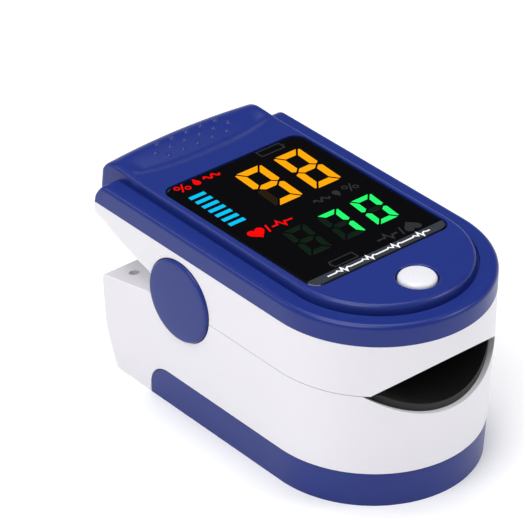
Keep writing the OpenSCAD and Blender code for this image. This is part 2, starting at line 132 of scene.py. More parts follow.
class OximeterSizes(bpy.types.PropertyGroup):
    arch_radius: length_setting("Arch radius", "Radius of the finger arch in the upper jaw", 17.6 * MM)
    arch_crown: length_setting("Arch crown", "Height of the arch's crown", 23 * MM)
    trough_radius: length_setting("Trough radius", "Radius of the finger trough in the lower jaw", 20 * MM)
    trough_floor: length_setting("Trough floor", "Height of the trough's floor", 14.3 * MM)
    pad_thickness: length_setting("Pad thickness", "Thickness of the rubber pads", 1.2 * MM)
    cap_radius: length_setting("Cap radius", "Radius of the round hinge caps", 6.3 * MM)
    button_radius: length_setting("Button radius", "Radius of the power button", 2.75 * MM)
    edge_round: length_setting("Edge rounding", "Radius of the cover's upper edges", 0.75 * MM)


class OximeterColours(bpy.types.PropertyGroup):
    cover: colour_setting("Cover", "Blue of the covers and hinge caps", "#1A2D7C")
    casing: colour_setting("Casing", "White of the two casings", "#E9E7EC")
    button: colour_setting("Button", "White of the power button", "#E2E2E8")
    rubber: colour_setting("Rubber", "Black of the finger pads", "#101210")
    window: colour_setting("Window", "Black of the smoked window", "#020203")
    strip: colour_setting("Strip", "Grey of the printed strip", "#363A42")
    oxygen: colour_setting("Oxygen figures", "Lit colour of the large figures", "#FFA500")
    pulse: colour_setting("Pulse figures", "Lit colour of the small figures", "#20FA6E")
    bars: colour_setting("Level bars", "Lit colour of the level bars", "#00BEF0")
    icons: colour_setting("Icons", "Lit colour of the icons", "#FF0000")


def sizes():
    return bpy.context.scene.oximeter_sizes


def colours():
    return bpy.context.scene.oximeter_colours


# ---------- modelling helpers ----------


def active(obj):
    """Makes obj the only selected object, and the active one."""
    for other in list(bpy.context.selected_objects):
        other.select_set(False)
    obj.select_set(True)
    bpy.context.view_layer.objects.active = obj
    return obj


def added(name):
    """The primitive just added, named, with its place and turn moved into its mesh."""
    obj = bpy.context.active_object
    obj.name = name
    obj.data.name = name
    active(obj)
    bpy.ops.object.transform_apply(location=True, rotation=True, scale=True)
    return obj


def edit(obj, kind="VERT", test=None):
    """Opens obj in edit mode with what passes the test selected, or all of it."""
    active(obj)
    bpy.ops.object.mode_set(mode="EDIT")
    bpy.ops.mesh.select_mode(type=kind)
    bpy.ops.mesh.select_all(action="DESELECT" if test else "SELECT")
    if not test:
        return
    bpy.ops.object.mode_set(mode="OBJECT")
    mesh = obj.data
    place = [v.co.copy() for v in mesh.vertices]
    if kind == "VERT":
        picked = [v for v in mesh.vertices if test(v.co)]
    elif kind == "EDGE":
        picked = [e for e in mesh.edges if test(place[e.vertices[0]], place[e.vertices[1]])]
    else:
        picked = [f for f in mesh.polygons if test(f.center, f.normal)]
    if not picked:
        raise RuntimeError(f"nothing on {obj.name} passes the test for {kind}")
    for item in picked:
        item.select = True
    bpy.ops.object.mode_set(mode="EDIT")


def shut(obj):
    """Leaves edit mode with doubles merged and normals outward."""
    bpy.ops.mesh.select_all(action="SELECT")
    bpy.ops.mesh.remove_doubles(threshold=0.001 * MM)
    bpy.ops.mesh.normals_make_consistent(inside=False)
    bpy.ops.object.mode_set(mode="OBJECT")
    return obj


def both(test):
    """Edge test that a point test has to pass at both ends."""
    return lambda a, b: test(a) and test(b)


def extrude(offset):
    bpy.ops.mesh.extrude_region_move(TRANSFORM_OT_translate={"value": offset})


def reshape(obj, move):
    """Moves each vertex to the place that move gives for it."""
    for v in obj.data.vertices:
        v.co = move(v.co)
    return obj


def round_edges(obj, test, width, segments=5):
    """Bevels the edges whose two ends pass the test."""
    edit(obj, "EDGE", test)
    bpy.ops.mesh.bevel(offset=width, segments=segments, affect="EDGES", clamp_overlap=True)
    return shut(obj)


def combine(obj, tool, operation="DIFFERENCE"):
    """Cuts, joins or crosses obj with tool, which is used up."""
    active(obj)
    mod = obj.modifiers.new("combine", "BOOLEAN")
    mod.operation = operation
    mod.solver = "EXACT"
    mod.object = tool
    bpy.ops.object.modifier_apply(modifier=mod.name)
    bpy.data.objects.remove(tool)
    return obj


def nose_prism(name, half, y_rear, z0, z1, arc=128):
    """Solid with the body's plan: a round nose and straight sides back to y_rear."""
    bpy.ops.mesh.primitive_circle_add(vertices=arc, radius=half, fill_type="NGON", location=(0, NOSE, z0))
    obj = added(name)
    edit(obj)
    bpy.ops.mesh.bisect(plane_co=(0, NOSE, z0), plane_no=(0, 1, 0), clear_outer=True)
    bpy.ops.object.mode_set(mode="OBJECT")
    edit(obj, "EDGE", lambda a, b: min(a.y, b.y) > NOSE - GAP / 10)
    extrude((0, y_rear - NOSE, 0))
    bpy.ops.mesh.select_all(action="SELECT")
    bpy.ops.mesh.dissolve_faces()
    extrude((0, 0, z1 - z0))
    return shut(obj)


def block(name, lo, hi):
    """Box between two corners."""
    lo, hi = Vector(lo), Vector(hi)
    bpy.ops.mesh.primitive_cube_add(size=1, location=(lo + hi) / 2, scale=hi - lo)
    return added(name)


def rod(name, radius, start, end, sides=96):
    """Cylinder between two points."""
    start, end = Vector(start), Vector(end)
    turn = (end - start).to_track_quat("Z", "Y").to_euler()
    bpy.ops.mesh.primitive_cylinder_add(
        vertices=sides, radius=radius, depth=(end - start).length, location=(start + end) / 2, rotation=turn
    )
    return added(name)


def post(name, radius, y, z0, z1, sides=64):
    """Upright rod on the body's middle plane."""
    return rod(name, radius, (0, y, z0), (0, y, z1), sides)


def bore(name, radius, height, rear, sides):
    """Level rod from before the finger opening back to rear."""
    return rod(name, radius, (0, FRONT - MM, height), (0, rear, height), sides)


def outline(name, corners, rounded=None):
    """Flat face drawn corner by corner. rounded maps a corner's number to its radius."""
    corners = [Vector(c) for c in corners]
    bpy.ops.mesh.primitive_plane_add(size=MM, location=corners[0])
    obj = added(name)
    edit(obj)
    bpy.ops.mesh.merge(type="CENTER")
    for a, b in zip(corners, corners[1:]):
        bpy.ops.mesh.extrude_vertices_move(TRANSFORM_OT_translate={"value": b - a})
    bpy.ops.mesh.select_all(action="SELECT")
    bpy.ops.mesh.edge_face_add()
    bpy.ops.object.mode_set(mode="OBJECT")
    for number, radius in (rounded or {}).items():
        here = corners[number]
        to_last = corners[number - 1] - here
        to_next = corners[(number + 1) % len(corners)] - here
        reach = radius / math.tan(to_last.angle(to_next) / 2)
        edit(obj, "VERT", lambda p: (p - here).length < 0.001 * MM)
        bpy.ops.mesh.bevel(offset=reach, segments=10, affect="VERTICES", clamp_overlap=True)
        bpy.ops.object.mode_set(mode="OBJECT")
    return obj


def side_prism(name, corners, half, rounded=None):
    """Side view in (y, z), run across the body from -half to half."""
    obj = outline(name, [(-half, y, z) for y, z in corners], rounded)
    edit(obj)
    extrude((2 * half, 0, 0))
    return shut(obj)


def flat_prism(name, corners, z0, z1, rounded=None):
    """Plan view in (x, y), raised from z0 to z1."""
    obj = outline(name, [(x, y, z0) for x, y in corners], rounded)
    edit(obj)
    extrude((0, 0, z1 - z0))
    return shut(obj)


def rounded_plate(name, width, length, y, z0, z1, corner, segments=10):
    """Plate with rounded corners, centred across the body."""
    obj = block(name, (-width / 2, y - length / 2, z0), (width / 2, y + length / 2, z1))
    upright = lambda a, b: abs(a.z - b.z) > (z1 - z0) / 2
    return round_edges(obj, upright, corner, segments)


def joined(name, parts):
    """One object of several shells."""
    active(parts[0])
    for part in parts[1:]:
        part.select_set(True)
    bpy.ops.object.join()
    parts[0].name = name
    parts[0].data.name = name
    return parts[0]


def copied(obj, name, move):
    """A copy of obj with its own mesh, each vertex taken to the place that move gives."""
    twin = obj.copy()
    twin.data = obj.data.copy()
    twin.name = name
    twin.data.name = name
    bpy.context.collection.objects.link(twin)
    return reshape(twin, move)


def finished(obj, body, material, slot=None, nodes=(), angle=30):
    """Smooths and paints a piece and ties it to its body."""
    edit(obj)
    bpy.ops.mesh.remove_doubles(threshold=0.004 * MM)
    bpy.ops.mesh.delete_loose()
    shut(obj)
    bpy.ops.object.shade_smooth_by_angle(angle=math.radians(angle))
    mod = obj.modifiers.new("even shading", "WEIGHTED_NORMAL")
    mod.keep_sharp = True
    bpy.ops.object.modifier_apply(modifier=mod.name)
    obj.data.materials.clear()
    obj.data.materials.append(material)
    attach(obj, body)
    if nodes:
        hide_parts(*nodes)
    return obj


def tapered(obj):
    """Draft of the lower mouldings: the plan shrinks a little towards the table."""
    draft = 0.7 * MM / SIDE

    def move(p):
        scale = 1 - draft * (1 - min(p.z / JOINT, 1))
        y = NOSE + (p.y - NOSE) * scale if p.y < NOSE else p.y
        return Vector((p.x * scale, y, p.z))

    return reshape(obj, move)


def step_up(value, low, high):
    """Smooth rise from 0 to 1 as value goes from low to high."""
    t = min(max((value - low) / (high - low), 0), 1)
    return t * t * (3 - 2 * t)


# ---------- materials ----------


def add_node(tree, kind, inputs=None, **settings):
    """Adds a node. Each input takes a plain value or another node's output."""
    made = tree.nodes.new(kind)
    for key, value in settings.items():
        setattr(made, key, value)
    for key, value in (inputs or {}).items():
        if isinstance(value, bpy.types.NodeSocket):
            tree.links.new(value, made.inputs[key])
        else:
            made.inputs[key].default_value = value
    return made


def new_material(name, **sockets):
    """A Principled material with plain values on the shader's own sockets."""
    material = bpy.data.materials.new(name)
    material.use_nodes = True
    shader = material.node_tree.nodes["Principled BSDF"]
    for key, value in sockets.items():
        shader.inputs[key.replace("_", " ")].default_value = value
    return material


def shade(colour, factor):
    return tuple(min(c * factor, 1) for c in colour[:3]) + (1.0,)


def moulded(name, colour, roughness, grain, depth, drift=0.06, **sockets):
    """Injection-moulded plastic: an even colour that drifts slightly where the melt flowed,
    and the fine spark-eroded grain of the mould, which breaks up its gloss. The grain is drawn
    about twice as coarse as a real mould's, so that it still shows at arm's length."""
    material = new_material(name, **sockets)
    tree = material.node_tree
    shader = tree.nodes["Principled BSDF"]
    place = add_node(tree, "ShaderNodeTexCoord").outputs["Object"]
    flow = add_node(tree, "ShaderNodeTexNoise", {"Vector": place, "Scale": 1 / (14 * MM), "Detail": 2.0})
    mix = add_node(
        tree, "ShaderNodeMix",
        {"Factor": flow.outputs["Fac"], 6: shade(colour, 1 - drift), 7: shade(colour, 1 + drift)},
        data_type="RGBA",
    )
    tree.links.new(mix.outputs[2], shader.inputs["Base Color"])
    pits = add_node(tree, "ShaderNodeTexNoise", {"Vector": place, "Scale": 1 / grain, "Detail": 3.0})
    uneven_gloss(tree, pits, roughness, 0.15)
    relief = {"Height": pits.outputs["Fac"], "Distance": depth, "Strength": 0.5}
    tree.links.new(add_node(tree, "ShaderNodeBump", relief).outputs["Normal"], shader.inputs["Normal"])
    return material


def uneven_gloss(tree, noise, roughness, spread):
    """Lets a noise vary the roughness by a share of itself either way."""
    gloss = add_node(
        tree, "ShaderNodeMapRange",
        {
            "Value": noise.outputs["Fac"],
            "To Min": roughness * (1 - spread),
            "To Max": roughness * (1 + spread),
        },
    )
    tree.links.new(gloss.outputs["Result"], tree.nodes["Principled BSDF"].inputs["Roughness"])


def drawn_metal(name, hex_colour, roughness, along):
    """Drawn or rolled metal: fine lines run the way it was worked."""
    material = new_material(name, Base_Color=linear(hex_colour), Metallic=1.0)
    tree = material.node_tree
    place = add_node(tree, "ShaderNodeTexCoord").outputs["Object"]
    stretch = add_node(tree, "ShaderNodeMapping", {"Vector": place, "Scale": along}).outputs["Vector"]
    lines = add_node(tree, "ShaderNodeTexNoise", {"Vector": stretch, "Scale": 1 / (0.3 * MM), "Detail": 3.0})
    uneven_gloss(tree, lines, roughness, 0.3)
    return material


def lit_resin(name, colour, strength):
    """Light-pipe resin seen through the smoked window: an even glow under a glossy face."""
    return new_material(
        name, Base_Color=shade(colour, 0.1), Roughness=0.08, IOR=1.49,
        Emission_Color=tuple(colour), Emission_Strength=strength,
    )


def printed(name, colour, roughness=0.12):
    """Screen-printed ink under a glossy lacquer."""
    return moulded(name, colour, roughness, 0.3 * MM, 0.002 * MM, drift=0.05, IOR=1.5)


def make_materials():
    """Every material of the device, by the name the pieces ask for."""
    return {**shell_materials(), **display_materials(), **inner_materials()}


def shell_materials():
    """Plastics and rubber of the outside."""
    c = colours()
    return {
        # ABS with a fine satin mould texture: deep blue with a soft sheen
        "cover": moulded("moulded_blue_ABS", c.cover, 0.32, 0.25 * MM, 0.006 * MM, IOR=1.38),
        # ABS coloured white: an even satin white with hardly any drift of colour
        "casing": moulded("moulded_white_ABS", c.casing, 0.34, 0.25 * MM, 0.005 * MM, drift=0.012, IOR=1.53),
        # The same resin from a better polished mould: a clearer highlight on the dome
        "button": moulded(
            "moulded_white_ABS_button", c.button, 0.28, 0.2 * MM, 0.004 * MM, drift=0.01, IOR=1.53
        ),
        # Silicone rubber: black, dull, with a soft edge glow and a coarser grain
        "rubber": moulded(
            "moulded_silicone_rubber", c.rubber, 0.5, 0.3 * MM, 0.01 * MM, drift=0.15, IOR=1.43,
            Sheen_Weight=0.08, Sheen_Roughness=0.4,
        ),
    }


def display_materials():
    """Window, inks and lit places of the display."""
    c = colours()
    return {
        # Polished smoked acrylic: nearly a mirror at the surface, black inside
        "window": moulded(
            "polished_smoked_acrylic", c.window, 0.06, 6 * MM, 0.002 * MM, drift=0.3, IOR=1.49
        ),
        # Inks printed under the lacquer: flat colour that shines like the window round it
        "strip": printed("printed_grey_ink", c.strip),
        "strip_mark": printed("printed_white_ink", linear("#F4F4F6")),
        # Light-pipe resin: each lit place glows evenly to its edge
        "oxygen": lit_resin("lit_orange_resin", c.oxygen, 1.0),
        "pulse": lit_resin("lit_green_resin", c.pulse, 1.0),
        "bars": lit_resin("lit_cyan_resin", c.bars, 1.0),
        "icons": lit_resin("lit_red_resin", c.icons, 1.0),
        # Unlit places show as a faint tint under the window
        "unlit_green": printed("unlit_green_resin", linear("#081C0F"), 0.08),
        "unlit_orange": printed("unlit_orange_resin", linear("#231703"), 0.08),
        "unlit_grey": printed("unlit_grey_ink", linear("#2C2D2F"), 0.08),
    }


def inner_materials():
    """Materials of the pieces seen only when the device is open."""
    return {
        # Plain mould texture: a dull light grey that reads as an unseen part
        "tray": moulded("moulded_grey_ABS", linear("#C9C9CD"), 0.45, 0.3 * MM, 0.008 * MM, IOR=1.53),
        # Woven glass and epoxy under green solder mask: a green cast that varies over the weave
        "board": moulded(
            "solder_mask_on_glass_epoxy", linear("#123D22"), 0.35, 0.6 * MM, 0.01 * MM, drift=0.2, IOR=1.5
        ),
        # Filled epoxy: a dry, nearly black surface
        "chip": moulded(
            "moulded_black_epoxy", linear("#18181A"), 0.55, 0.15 * MM, 0.006 * MM, drift=0.1, IOR=1.55
        ),
        # Infrared acrylic: deep red, almost black, with a polished face
        "optic": moulded(
            "polished_infrared_acrylic", linear("#3A0808"), 0.08, 5 * MM, 0.002 * MM, drift=0.2, IOR=1.49
        ),
        # Cast lens resin: pale and smooth
        "clear": moulded("cast_clear_epoxy", linear("#DADACF"), 0.15, 2 * MM, 0.003 * MM, IOR=1.55),
        # Polyimide over copper: amber with a slow change of tone along the film
        "film": moulded("polyimide_film", linear("#B8722A"), 0.3, 1.5 * MM, 0.004 * MM, drift=0.12, IOR=1.7),
        # Nylon as moulded: ivory and waxy
        "nylon": moulded("moulded_ivory_nylon", linear("#DCD6C2"), 0.5, 0.3 * MM, 0.006 * MM, IOR=1.53),
        # Shrink-wrapped foil sleeve of the cells: a green that glints where the foil ripples
        "sleeve": moulded(
            "printed_foil_sleeve", linear("#14532B"), 0.25, 3 * MM, 0.01 * MM, drift=0.1,
            IOR=1.5, Metallic=0.35,
        ),
        # Plated spring steel and screws: drawn lines pull the highlights out lengthwise
        "steel": drawn_metal("nickel_plated_steel", "#C9C6BF", 0.25, (1, 0.1, 1)),
        "zinc": drawn_metal("zinc_plated_steel", "#B4B6BA", 0.35, (1, 1, 0.2)),
    }


MATERIALS = {}


# ---------- shells ----------


def dish_height(x, y):
    """How far the thumb dish and ramp stand over the deck at a place on it."""
    crown, sag, depth = 0.64, 0.4, 0.7
    ramp_foot, ramp_top = 21 * MM, 27 * MM
    dish_rear = 27.6 * MM
    across = min(abs(x) / (13.7 * MM), 1)
    rise = (crown - sag * across**2) * MM * step_up(y, ramp_foot, ramp_top)
    # The dish's front edge bows forward in the middle
    crease = (21.1 + 1.7 * (abs(x) / (12.6 * MM)) ** 3) * MM
    along = min(max((y - crease) / (dish_rear - crease), 0), 1)
    rim = 1 - step_up(abs(x), 11.9 * MM, 13.1 * MM)
    scoop = depth * MM * step_up(along, 0, 0.3) * (1 - along) * rim
    return rise - scoop


def grip_dots(surface):
    """Raised dots in the thumb dish, in three staggered rows."""
    radius = 0.62 * MM
    sunk = 0.43 * MM
    pitch = 2.7 * MM
    bpy.ops.mesh.primitive_uv_sphere_add(segments=16, ring_count=8, radius=radius)
    first = added("dot")
    dots = []
    for y, count in ((27.05 * MM, 5), (25.7 * MM, 6), (24.35 * MM, 5)):
        for i in range(count):
            x = pitch * (i - (count - 1) / 2)
            place = Vector((x, y, surface + dish_height(x, y) - sunk))
            dots.append(copied(first, "dot", lambda p: p + place))
    bpy.data.objects.remove(first)
    return dots


def top_cover():
    """Blue cover: skirt, ledge, groove, raised deck, thumb dish, window recess and button hole."""
    cover = cover_body()
    combine(cover, raised_deck(), "UNION")
    inner = nose_prism("inner", SIDE - WALL, 25 * MM, SKIRT - MM, LEDGE - WALL)
    combine(cover, inner)
    upper = nose_prism("inner", DECK_HALF - WALL, 23 * MM, SKIRT - MM, TOP - 1.6 * MM)
    combine(cover, upper)
    cut_cover_openings(cover)
    cover = joined("top_cover_shell", [cover] + grip_dots(TOP))
    return finished(cover, "upper_jaw", MATERIALS["cover"], "cover_blue", ["top_cover"])


def cover_body():
    """Skirt and ledge, rounded along the top edge and rolled down at the ends of the wings."""
    wing = 26.85 * MM
    roll_start = 24.2
    roll_radius = 2.4 * MM
    lean = 0.3 * MM
    cover = nose_prism("top_cover_shell", SIDE, wing, SKIRT, LEDGE)
    round_edges(cover, cover_rim, sizes().edge_round)
    cut_into_strips(cover, roll_start, [roll_start + 0.2 * i for i in range(14)])

    def roll(p):
        height = (p.z - SKIRT) / (LEDGE - SKIRT)
        y = p.y - lean * height * step_up(p.y, roll_start * MM, wing)
        return Vector((p.x, y, p.z - height * rear_fall(p.y, wing, roll_radius)))

    reshape(cover, roll)
    groove_depth = 0.4 * MM
    groove_width = 0.3 * MM
    groove = nose_prism("groove", DECK_HALF + groove_width, REAR + WALL, LEDGE - groove_depth, TOP)
    return combine(cover, groove)


def raised_deck():
    """Deck that carries the window and button, with the thumb ramp and dish at its rear."""
    flank = 13.8 * MM
    flank_start = NOSE + 30 * MM
    roll_radius = 3.4 * MM
    swell = 0.5 * MM
    draft = 0.4 * MM
    deck = nose_prism("deck", DECK_HALF, DECK_REAR, SKIRT, TOP)

    def slim(p):
        x = math.copysign(min(abs(p.x), flank), p.x) if p.y > flank_start else p.x
        return Vector((x, p.y, p.z))

    reshape(deck, slim)
    at_rear = lambda a, b: min(a.y, b.y) > DECK_REAR - GAP and abs(a.z - b.z) > GAP
    round_edges(deck, at_rear, 0.9 * MM, 6)
    round_edges(deck, lambda a, b: min(a.z, b.z) > TOP - GAP, 0.5 * MM, 4)
    # Strips lie closer together where the ramp rolls over
    along = [20.6 + 0.36 * i for i in range(24)] + [29.1, 29.25, 29.4, 29.53, 29.63, 29.7, 29.75, 29.78]
    cut_into_strips(deck, 20.6, along, [1.05 * i for i in range(-12, 13)])

    def settle(p):
        lift = step_up(p.z, LEDGE - GAP, TOP) * dish_height(p.x, p.y)
        lift -= (p.z - SKIRT) / (TOP - SKIRT) * rear_fall(p.y, DECK_REAR, roll_radius)
        bulge = swell * (1 - (p.x / DECK_HALF) ** 2) * step_up(p.y, 24 * MM, DECK_REAR)
        inward = 1 - draft / DECK_HALF * min(max((p.z - LEDGE) / (TOP - LEDGE), 0), 1)
        y = NOSE + (p.y - NOSE) * inward if p.y < NOSE else p.y
        return Vector((p.x * inward, y + bulge, p.z + lift))

    return reshape(deck, settle)


def cut_cover_openings(cover):
    """Window recess with its opening, and the hole for the button with a softened rim."""
    window = WINDOW_HIGH - WINDOW_LOW
    middle = WINDOW_MID.y
    recess = rounded_plate(
        "recess", window.x + 0.1 * MM, window.y + 0.1 * MM, middle, WINDOW_LOW.z, TOP + MM, 2.05 * MM
    )
    combine(cover, recess)
    opening = rounded_plate("opening", window.x - 1.2 * MM, window.y - MM, middle, SKIRT, TOP, 0.3 * MM, 2)
    combine(cover, opening)
    hole = sizes().button_radius + 0.28 * MM
    combine(cover, post("hole", hole, BUTTON_Y, SKIRT, TOP + MM))

    def rim(p):
        return abs(math.hypot(p.x, p.y - BUTTON_Y) - hole) < 0.02 * MM and p.z > TOP - GAP

    round_edges(cover, both(rim), 0.25 * MM, 3)


def cover_rim(a, b):
    """True for the cover's outer top edge, round the nose and along both sides."""
    along_side = min(abs(a.x), abs(b.x)) > SIDE - GAP / 10
    return min(a.z, b.z) > LEDGE - GAP and (along_side or (on_nose(a, SIDE) and on_nose(b, SIDE)))


def rear_fall(y, end, radius):
    """How far an upper face has rolled over on its way to the rear edge at end."""
    t = min(max((y - end) / radius + 0.97, 0), 1)
    return radius * (1 - math.sqrt(1 - t * t))


def cut_into_strips(obj, start, along, across=()):
    """Cuts the part behind start both ways, places in millimetres, so that it has faces to bend."""
    cuts = [((0, y * MM, 0), (0, 1, 0)) for y in along] + [((x * MM, 0, 0), (1, 0, 0)) for x in across]
    for i, (place, normal) in enumerate(cuts):
        edit(obj, "FACE", (lambda c, n: c.y > start * MM - GAP) if i else None)
        bpy.ops.mesh.bisect(plane_co=place, plane_no=normal)
        bpy.ops.object.mode_set(mode="OBJECT")


def upper_casing():
    """White upper casing: band round the nose, rising underside behind the hinge, finger arch."""
    s = sizes()
    floor = JOINT + GAP / 2
    roof = SKIRT - GAP / 4
    tail_half = 13.3 * MM
    tail_rear = 29.3 * MM
    casing = nose_prism("upper_casing_shell", SIDE, 26.9 * MM, JOINT - MM, roof)
    tail = block("tail", (-tail_half, 10 * MM, JOINT), (tail_half, tail_rear, roof))
    combine(casing, tail, "UNION")
    # Underside: level as far as the hinge, then rising towards the thumb ramp
    profile = [
        (FRONT - MM, floor), (HINGE.y, floor), mm(14.9, 21), mm(17.5, 21.7), mm(21.7, 23.1),
        mm(25, 24.5), mm(28.4, 25.6), (tail_rear, 26 * MM), (tail_rear, SKIRT), (FRONT - MM, SKIRT),
    ]
    combine(casing, side_prism("profile", profile, SIDE + MM), "INTERSECT")
    axis = s.arch_crown - s.arch_radius
    combine(casing, bore("arch", s.arch_radius, axis, CHAMBER, 160))
    seat_radius = s.arch_radius + s.pad_thickness - GAP
    seat = rod("seat", seat_radius, (0, FRONT, axis), (0, CHAMBER, axis), 160)
    combine(seat, nose_prism("inside", SIDE - WALL, CHAMBER, JOINT - MM, SKIRT), "INTERSECT")
    combine(casing, seat)
    lip = lambda p: abs(math.hypot(p.x, p.z - axis) - s.arch_radius) < 0.02 * MM and on_nose(p, SIDE)
    round_edges(casing, both(lip), 0.3 * MM, 3)
    add_upper_hinge(casing)
    # The casing is a tub, open under the cover
    combine(casing, nose_prism("tub", SIDE - WALL, 24.4 * MM, 25.3 * MM, SKIRT + MM))
    return finished(casing, "upper_jaw", MATERIALS["casing"], "casing_white", ["upper_casing"])


def add_upper_hinge(casing):
    """Well for the hinge, seats for the caps, and the two ears that turn on the pin."""
    ear_top = 24.2 * MM
    well_x = SIDE - WALL
    well_rear = HINGE.y + 5.4 * MM
    combine(casing, block("well", (-well_x, CHAMBER + 0.8 * MM, JOINT - MM), (well_x, well_rear, ear_top)))
    for side in (-1, 1):
        combine(casing, cap_seat(side))
        ear = ear_plate(side, SIDE - 4.7 * MM, SIDE - 3.3 * MM, 4.4 * MM, ear_top + GAP)
        combine(casing, ear, "UNION")
    combine(casing, pin_hole())


def on_nose(p, half):
    return p.y < NOSE + GAP and abs(math.hypot(p.x, p.y - NOSE) - half) < 0.03 * MM


def cap_seat(side):
    """Round seat that a hinge cap sits in."""
    radius = sizes().cap_radius + 0.15 * MM
    inner = (side * (SIDE - 1.6 * MM), HINGE.y, HINGE.z)
    outer = (side * (SIDE + MM), HINGE.y, HINGE.z)
    return rod("seat", radius, inner, outer, 128)


def pin_hole():
    reach = SIDE - 1.55 * MM
    return rod("pin_hole", 1.05 * MM, (-reach, HINGE.y, HINGE.z), (reach, HINGE.y, HINGE.z), 48)


def ear_plate(side, x0, x1, radius, far_z):
    """Plate with a round end about the hinge pin, reaching to far_z."""
    ear = rod("ear", radius, (side * x0, HINGE.y, HINGE.z), (side * x1, HINGE.y, HINGE.z))
    xs, zs = sorted((side * x0, side * x1)), sorted((HINGE.z, far_z))
    neck = block("neck", (xs[0], HINGE.y - radius, zs[0]), (xs[1], HINGE.y + radius, zs[1]))
    return combine(ear, neck, "UNION")


def lower_casing():
    """White lower casing: tapered walls, finger trough, sloped squeeze face, lanyard holes."""
    s = sizes()
    casing = nose_prism("lower_casing_shell", SIDE, 25.5 * MM, 0, JOINT - GAP / 2)
    seam = BAND + 0.12 * MM
    profile = [
        (FRONT - MM, seam), (15.12 * MM, seam), (15.12 * MM, 0), (22.9 * MM, 0), mm(25.1, 6.2),
        mm(25.5, 15.3), mm(15.2, 17.4), (HINGE.y + 5.1 * MM, 17.4 * MM),
        (HINGE.y + 4.4 * MM, JOINT - GAP / 2), (FRONT - MM, JOINT - GAP / 2),
    ]
    rounded = {1: 4 * MM, 3: 2.2 * MM, 4: 10 * MM, 5: 1 * MM}
    combine(casing, side_prism("profile", profile, SIDE + MM, rounded), "INTERSECT")

    def rear_flank(p):
        return abs(abs(p.x) - SIDE) < 0.01 * MM and p.y > 15.3 * MM and p.z < 17.3 * MM

    round_edges(casing, both(rear_flank), 0.9 * MM, 6)
    axis = s.trough_floor + s.trough_radius
    combine(casing, bore("trough", s.trough_radius, axis, CHAMBER, 192))
    lip = lambda p: abs(math.hypot(p.x, p.z - axis) - s.trough_radius) < 0.02 * MM and on_nose(p, SIDE)
    round_edges(casing, both(lip), 0.6 * MM, 4)
    hollow_lower_casing(casing)
    for side in (-1, 1):
        combine(casing, cap_seat(side))
        combine(casing, ear_plate(side, SIDE - 3 * MM, SIDE - 1.62 * MM, 4.6 * MM, 12.7 * MM), "UNION")
        combine(casing, cover_rail(side), "UNION")
    combine(casing, pin_hole())
    add_lanyard_holes(casing)
    tapered(casing)
    return finished(casing, "lower_jaw", MATERIALS["casing"], "casing_white", ["lower_casing"])


def hollow_lower_casing(casing):
    """Room for the tray and cells under the deck, the hinge, the sensor board and its cable."""
    for rear, z0, z1 in (mm(15.2, -1, 1.3), mm(22, 1.2, 4.1), mm(23.4, 4, 12.7)):
        combine(casing, nose_prism("bay", SIDE - WALL, rear, z0, z1))
    well_x = SIDE - 3.1 * MM
    well_rear = HINGE.y + 5.4 * MM
    combine(casing, block("well", (-well_x, CHAMBER + 0.8 * MM, 13.5 * MM), (well_x, well_rear, 20 * MM)))
    combine(casing, block("board_pocket", mm(-4.7, -15.4, 13.2), mm(4.7, 2, 15)))
    slot_rear = CHAMBER + 2 * MM
    combine(casing, block("ribbon_slot", (-4.4 * MM, MM, 13.2 * MM), (4.4 * MM, slot_rear, 14.4 * MM)))


def add_lanyard_holes(casing):
    """Corner bar that a lanyard loops round: one hole from the squeeze face, one from the rear."""
    x, y, z = -14.1 * MM, 21.7 * MM, 12 * MM
    corner = block("lanyard_block", mm(-15.7, 19.6, 10), mm(-12.4, 23.8, 14.2))
    combine(casing, corner, "UNION")
    combine(casing, rod("lanyard", 0.8 * MM, (x, y, z), (x, y, 20 * MM), 32))
    combine(casing, rod("lanyard", 0.9 * MM, (x, 20.5 * MM, z), (x, 27 * MM, z), 36))


def cover_rail(side):
    """Rail under the casing's edge that the battery cover hangs on."""
    view = [(13, 2.2), (14.7, 2.2), (14.7, 3.1), (13.6, 3.1), (13.6, 7), (15.8, 7), (15.8, 8), (13, 8)]
    rail = outline("rail", [(side * x * MM, -8 * MM, z * MM) for x, z in view])
    edit(rail)
    extrude((0, 22.6 * MM, 0))
    return shut(rail)


def battery_cover():
    """Blue band and floor that slide off towards the finger opening."""
    rear = 15 * MM
    cover = nose_prism("battery_cover_shell", SIDE, rear, 0, BAND)
    profile = [(FRONT - MM, 0), (rear, 0), (rear, BAND), (FRONT - MM, BAND)]
    combine(cover, side_prism("profile", profile, SIDE + MM, {2: 3.9 * MM}), "INTERSECT")

    def bottom_edge(a, b):
        ahead = max(a.y, b.y) < rear - GAP / 2
        return max(a.z, b.z) < GAP and (ahead or abs(a.x - b.x) < GAP)

    round_edges(cover, bottom_edge, 0.7 * MM)
    combine(cover, nose_prism("hollow", SIDE - WALL, rear + MM, 1.2 * MM, BAND + MM))
    for side in (-1, 1):
        xs = sorted((side * 14 * MM, side * (SIDE - WALL + GAP / 2)))
        rib = block("rib", (xs[0], -7 * MM, 3.35 * MM), (xs[1], 13.4 * MM, 4.3 * MM))
        combine(cover, rib, "UNION")
    for i in range(5):
        y = (-21 + 1.8 * i) * MM
        combine(cover, rod("groove", 0.5 * MM, (-6 * MM, y, -0.15 * MM), (6 * MM, y, -0.15 * MM), 24))
    tapered(cover)
    return finished(cover, "cover", MATERIALS["cover"], "cover_blue", ["battery_cover"])


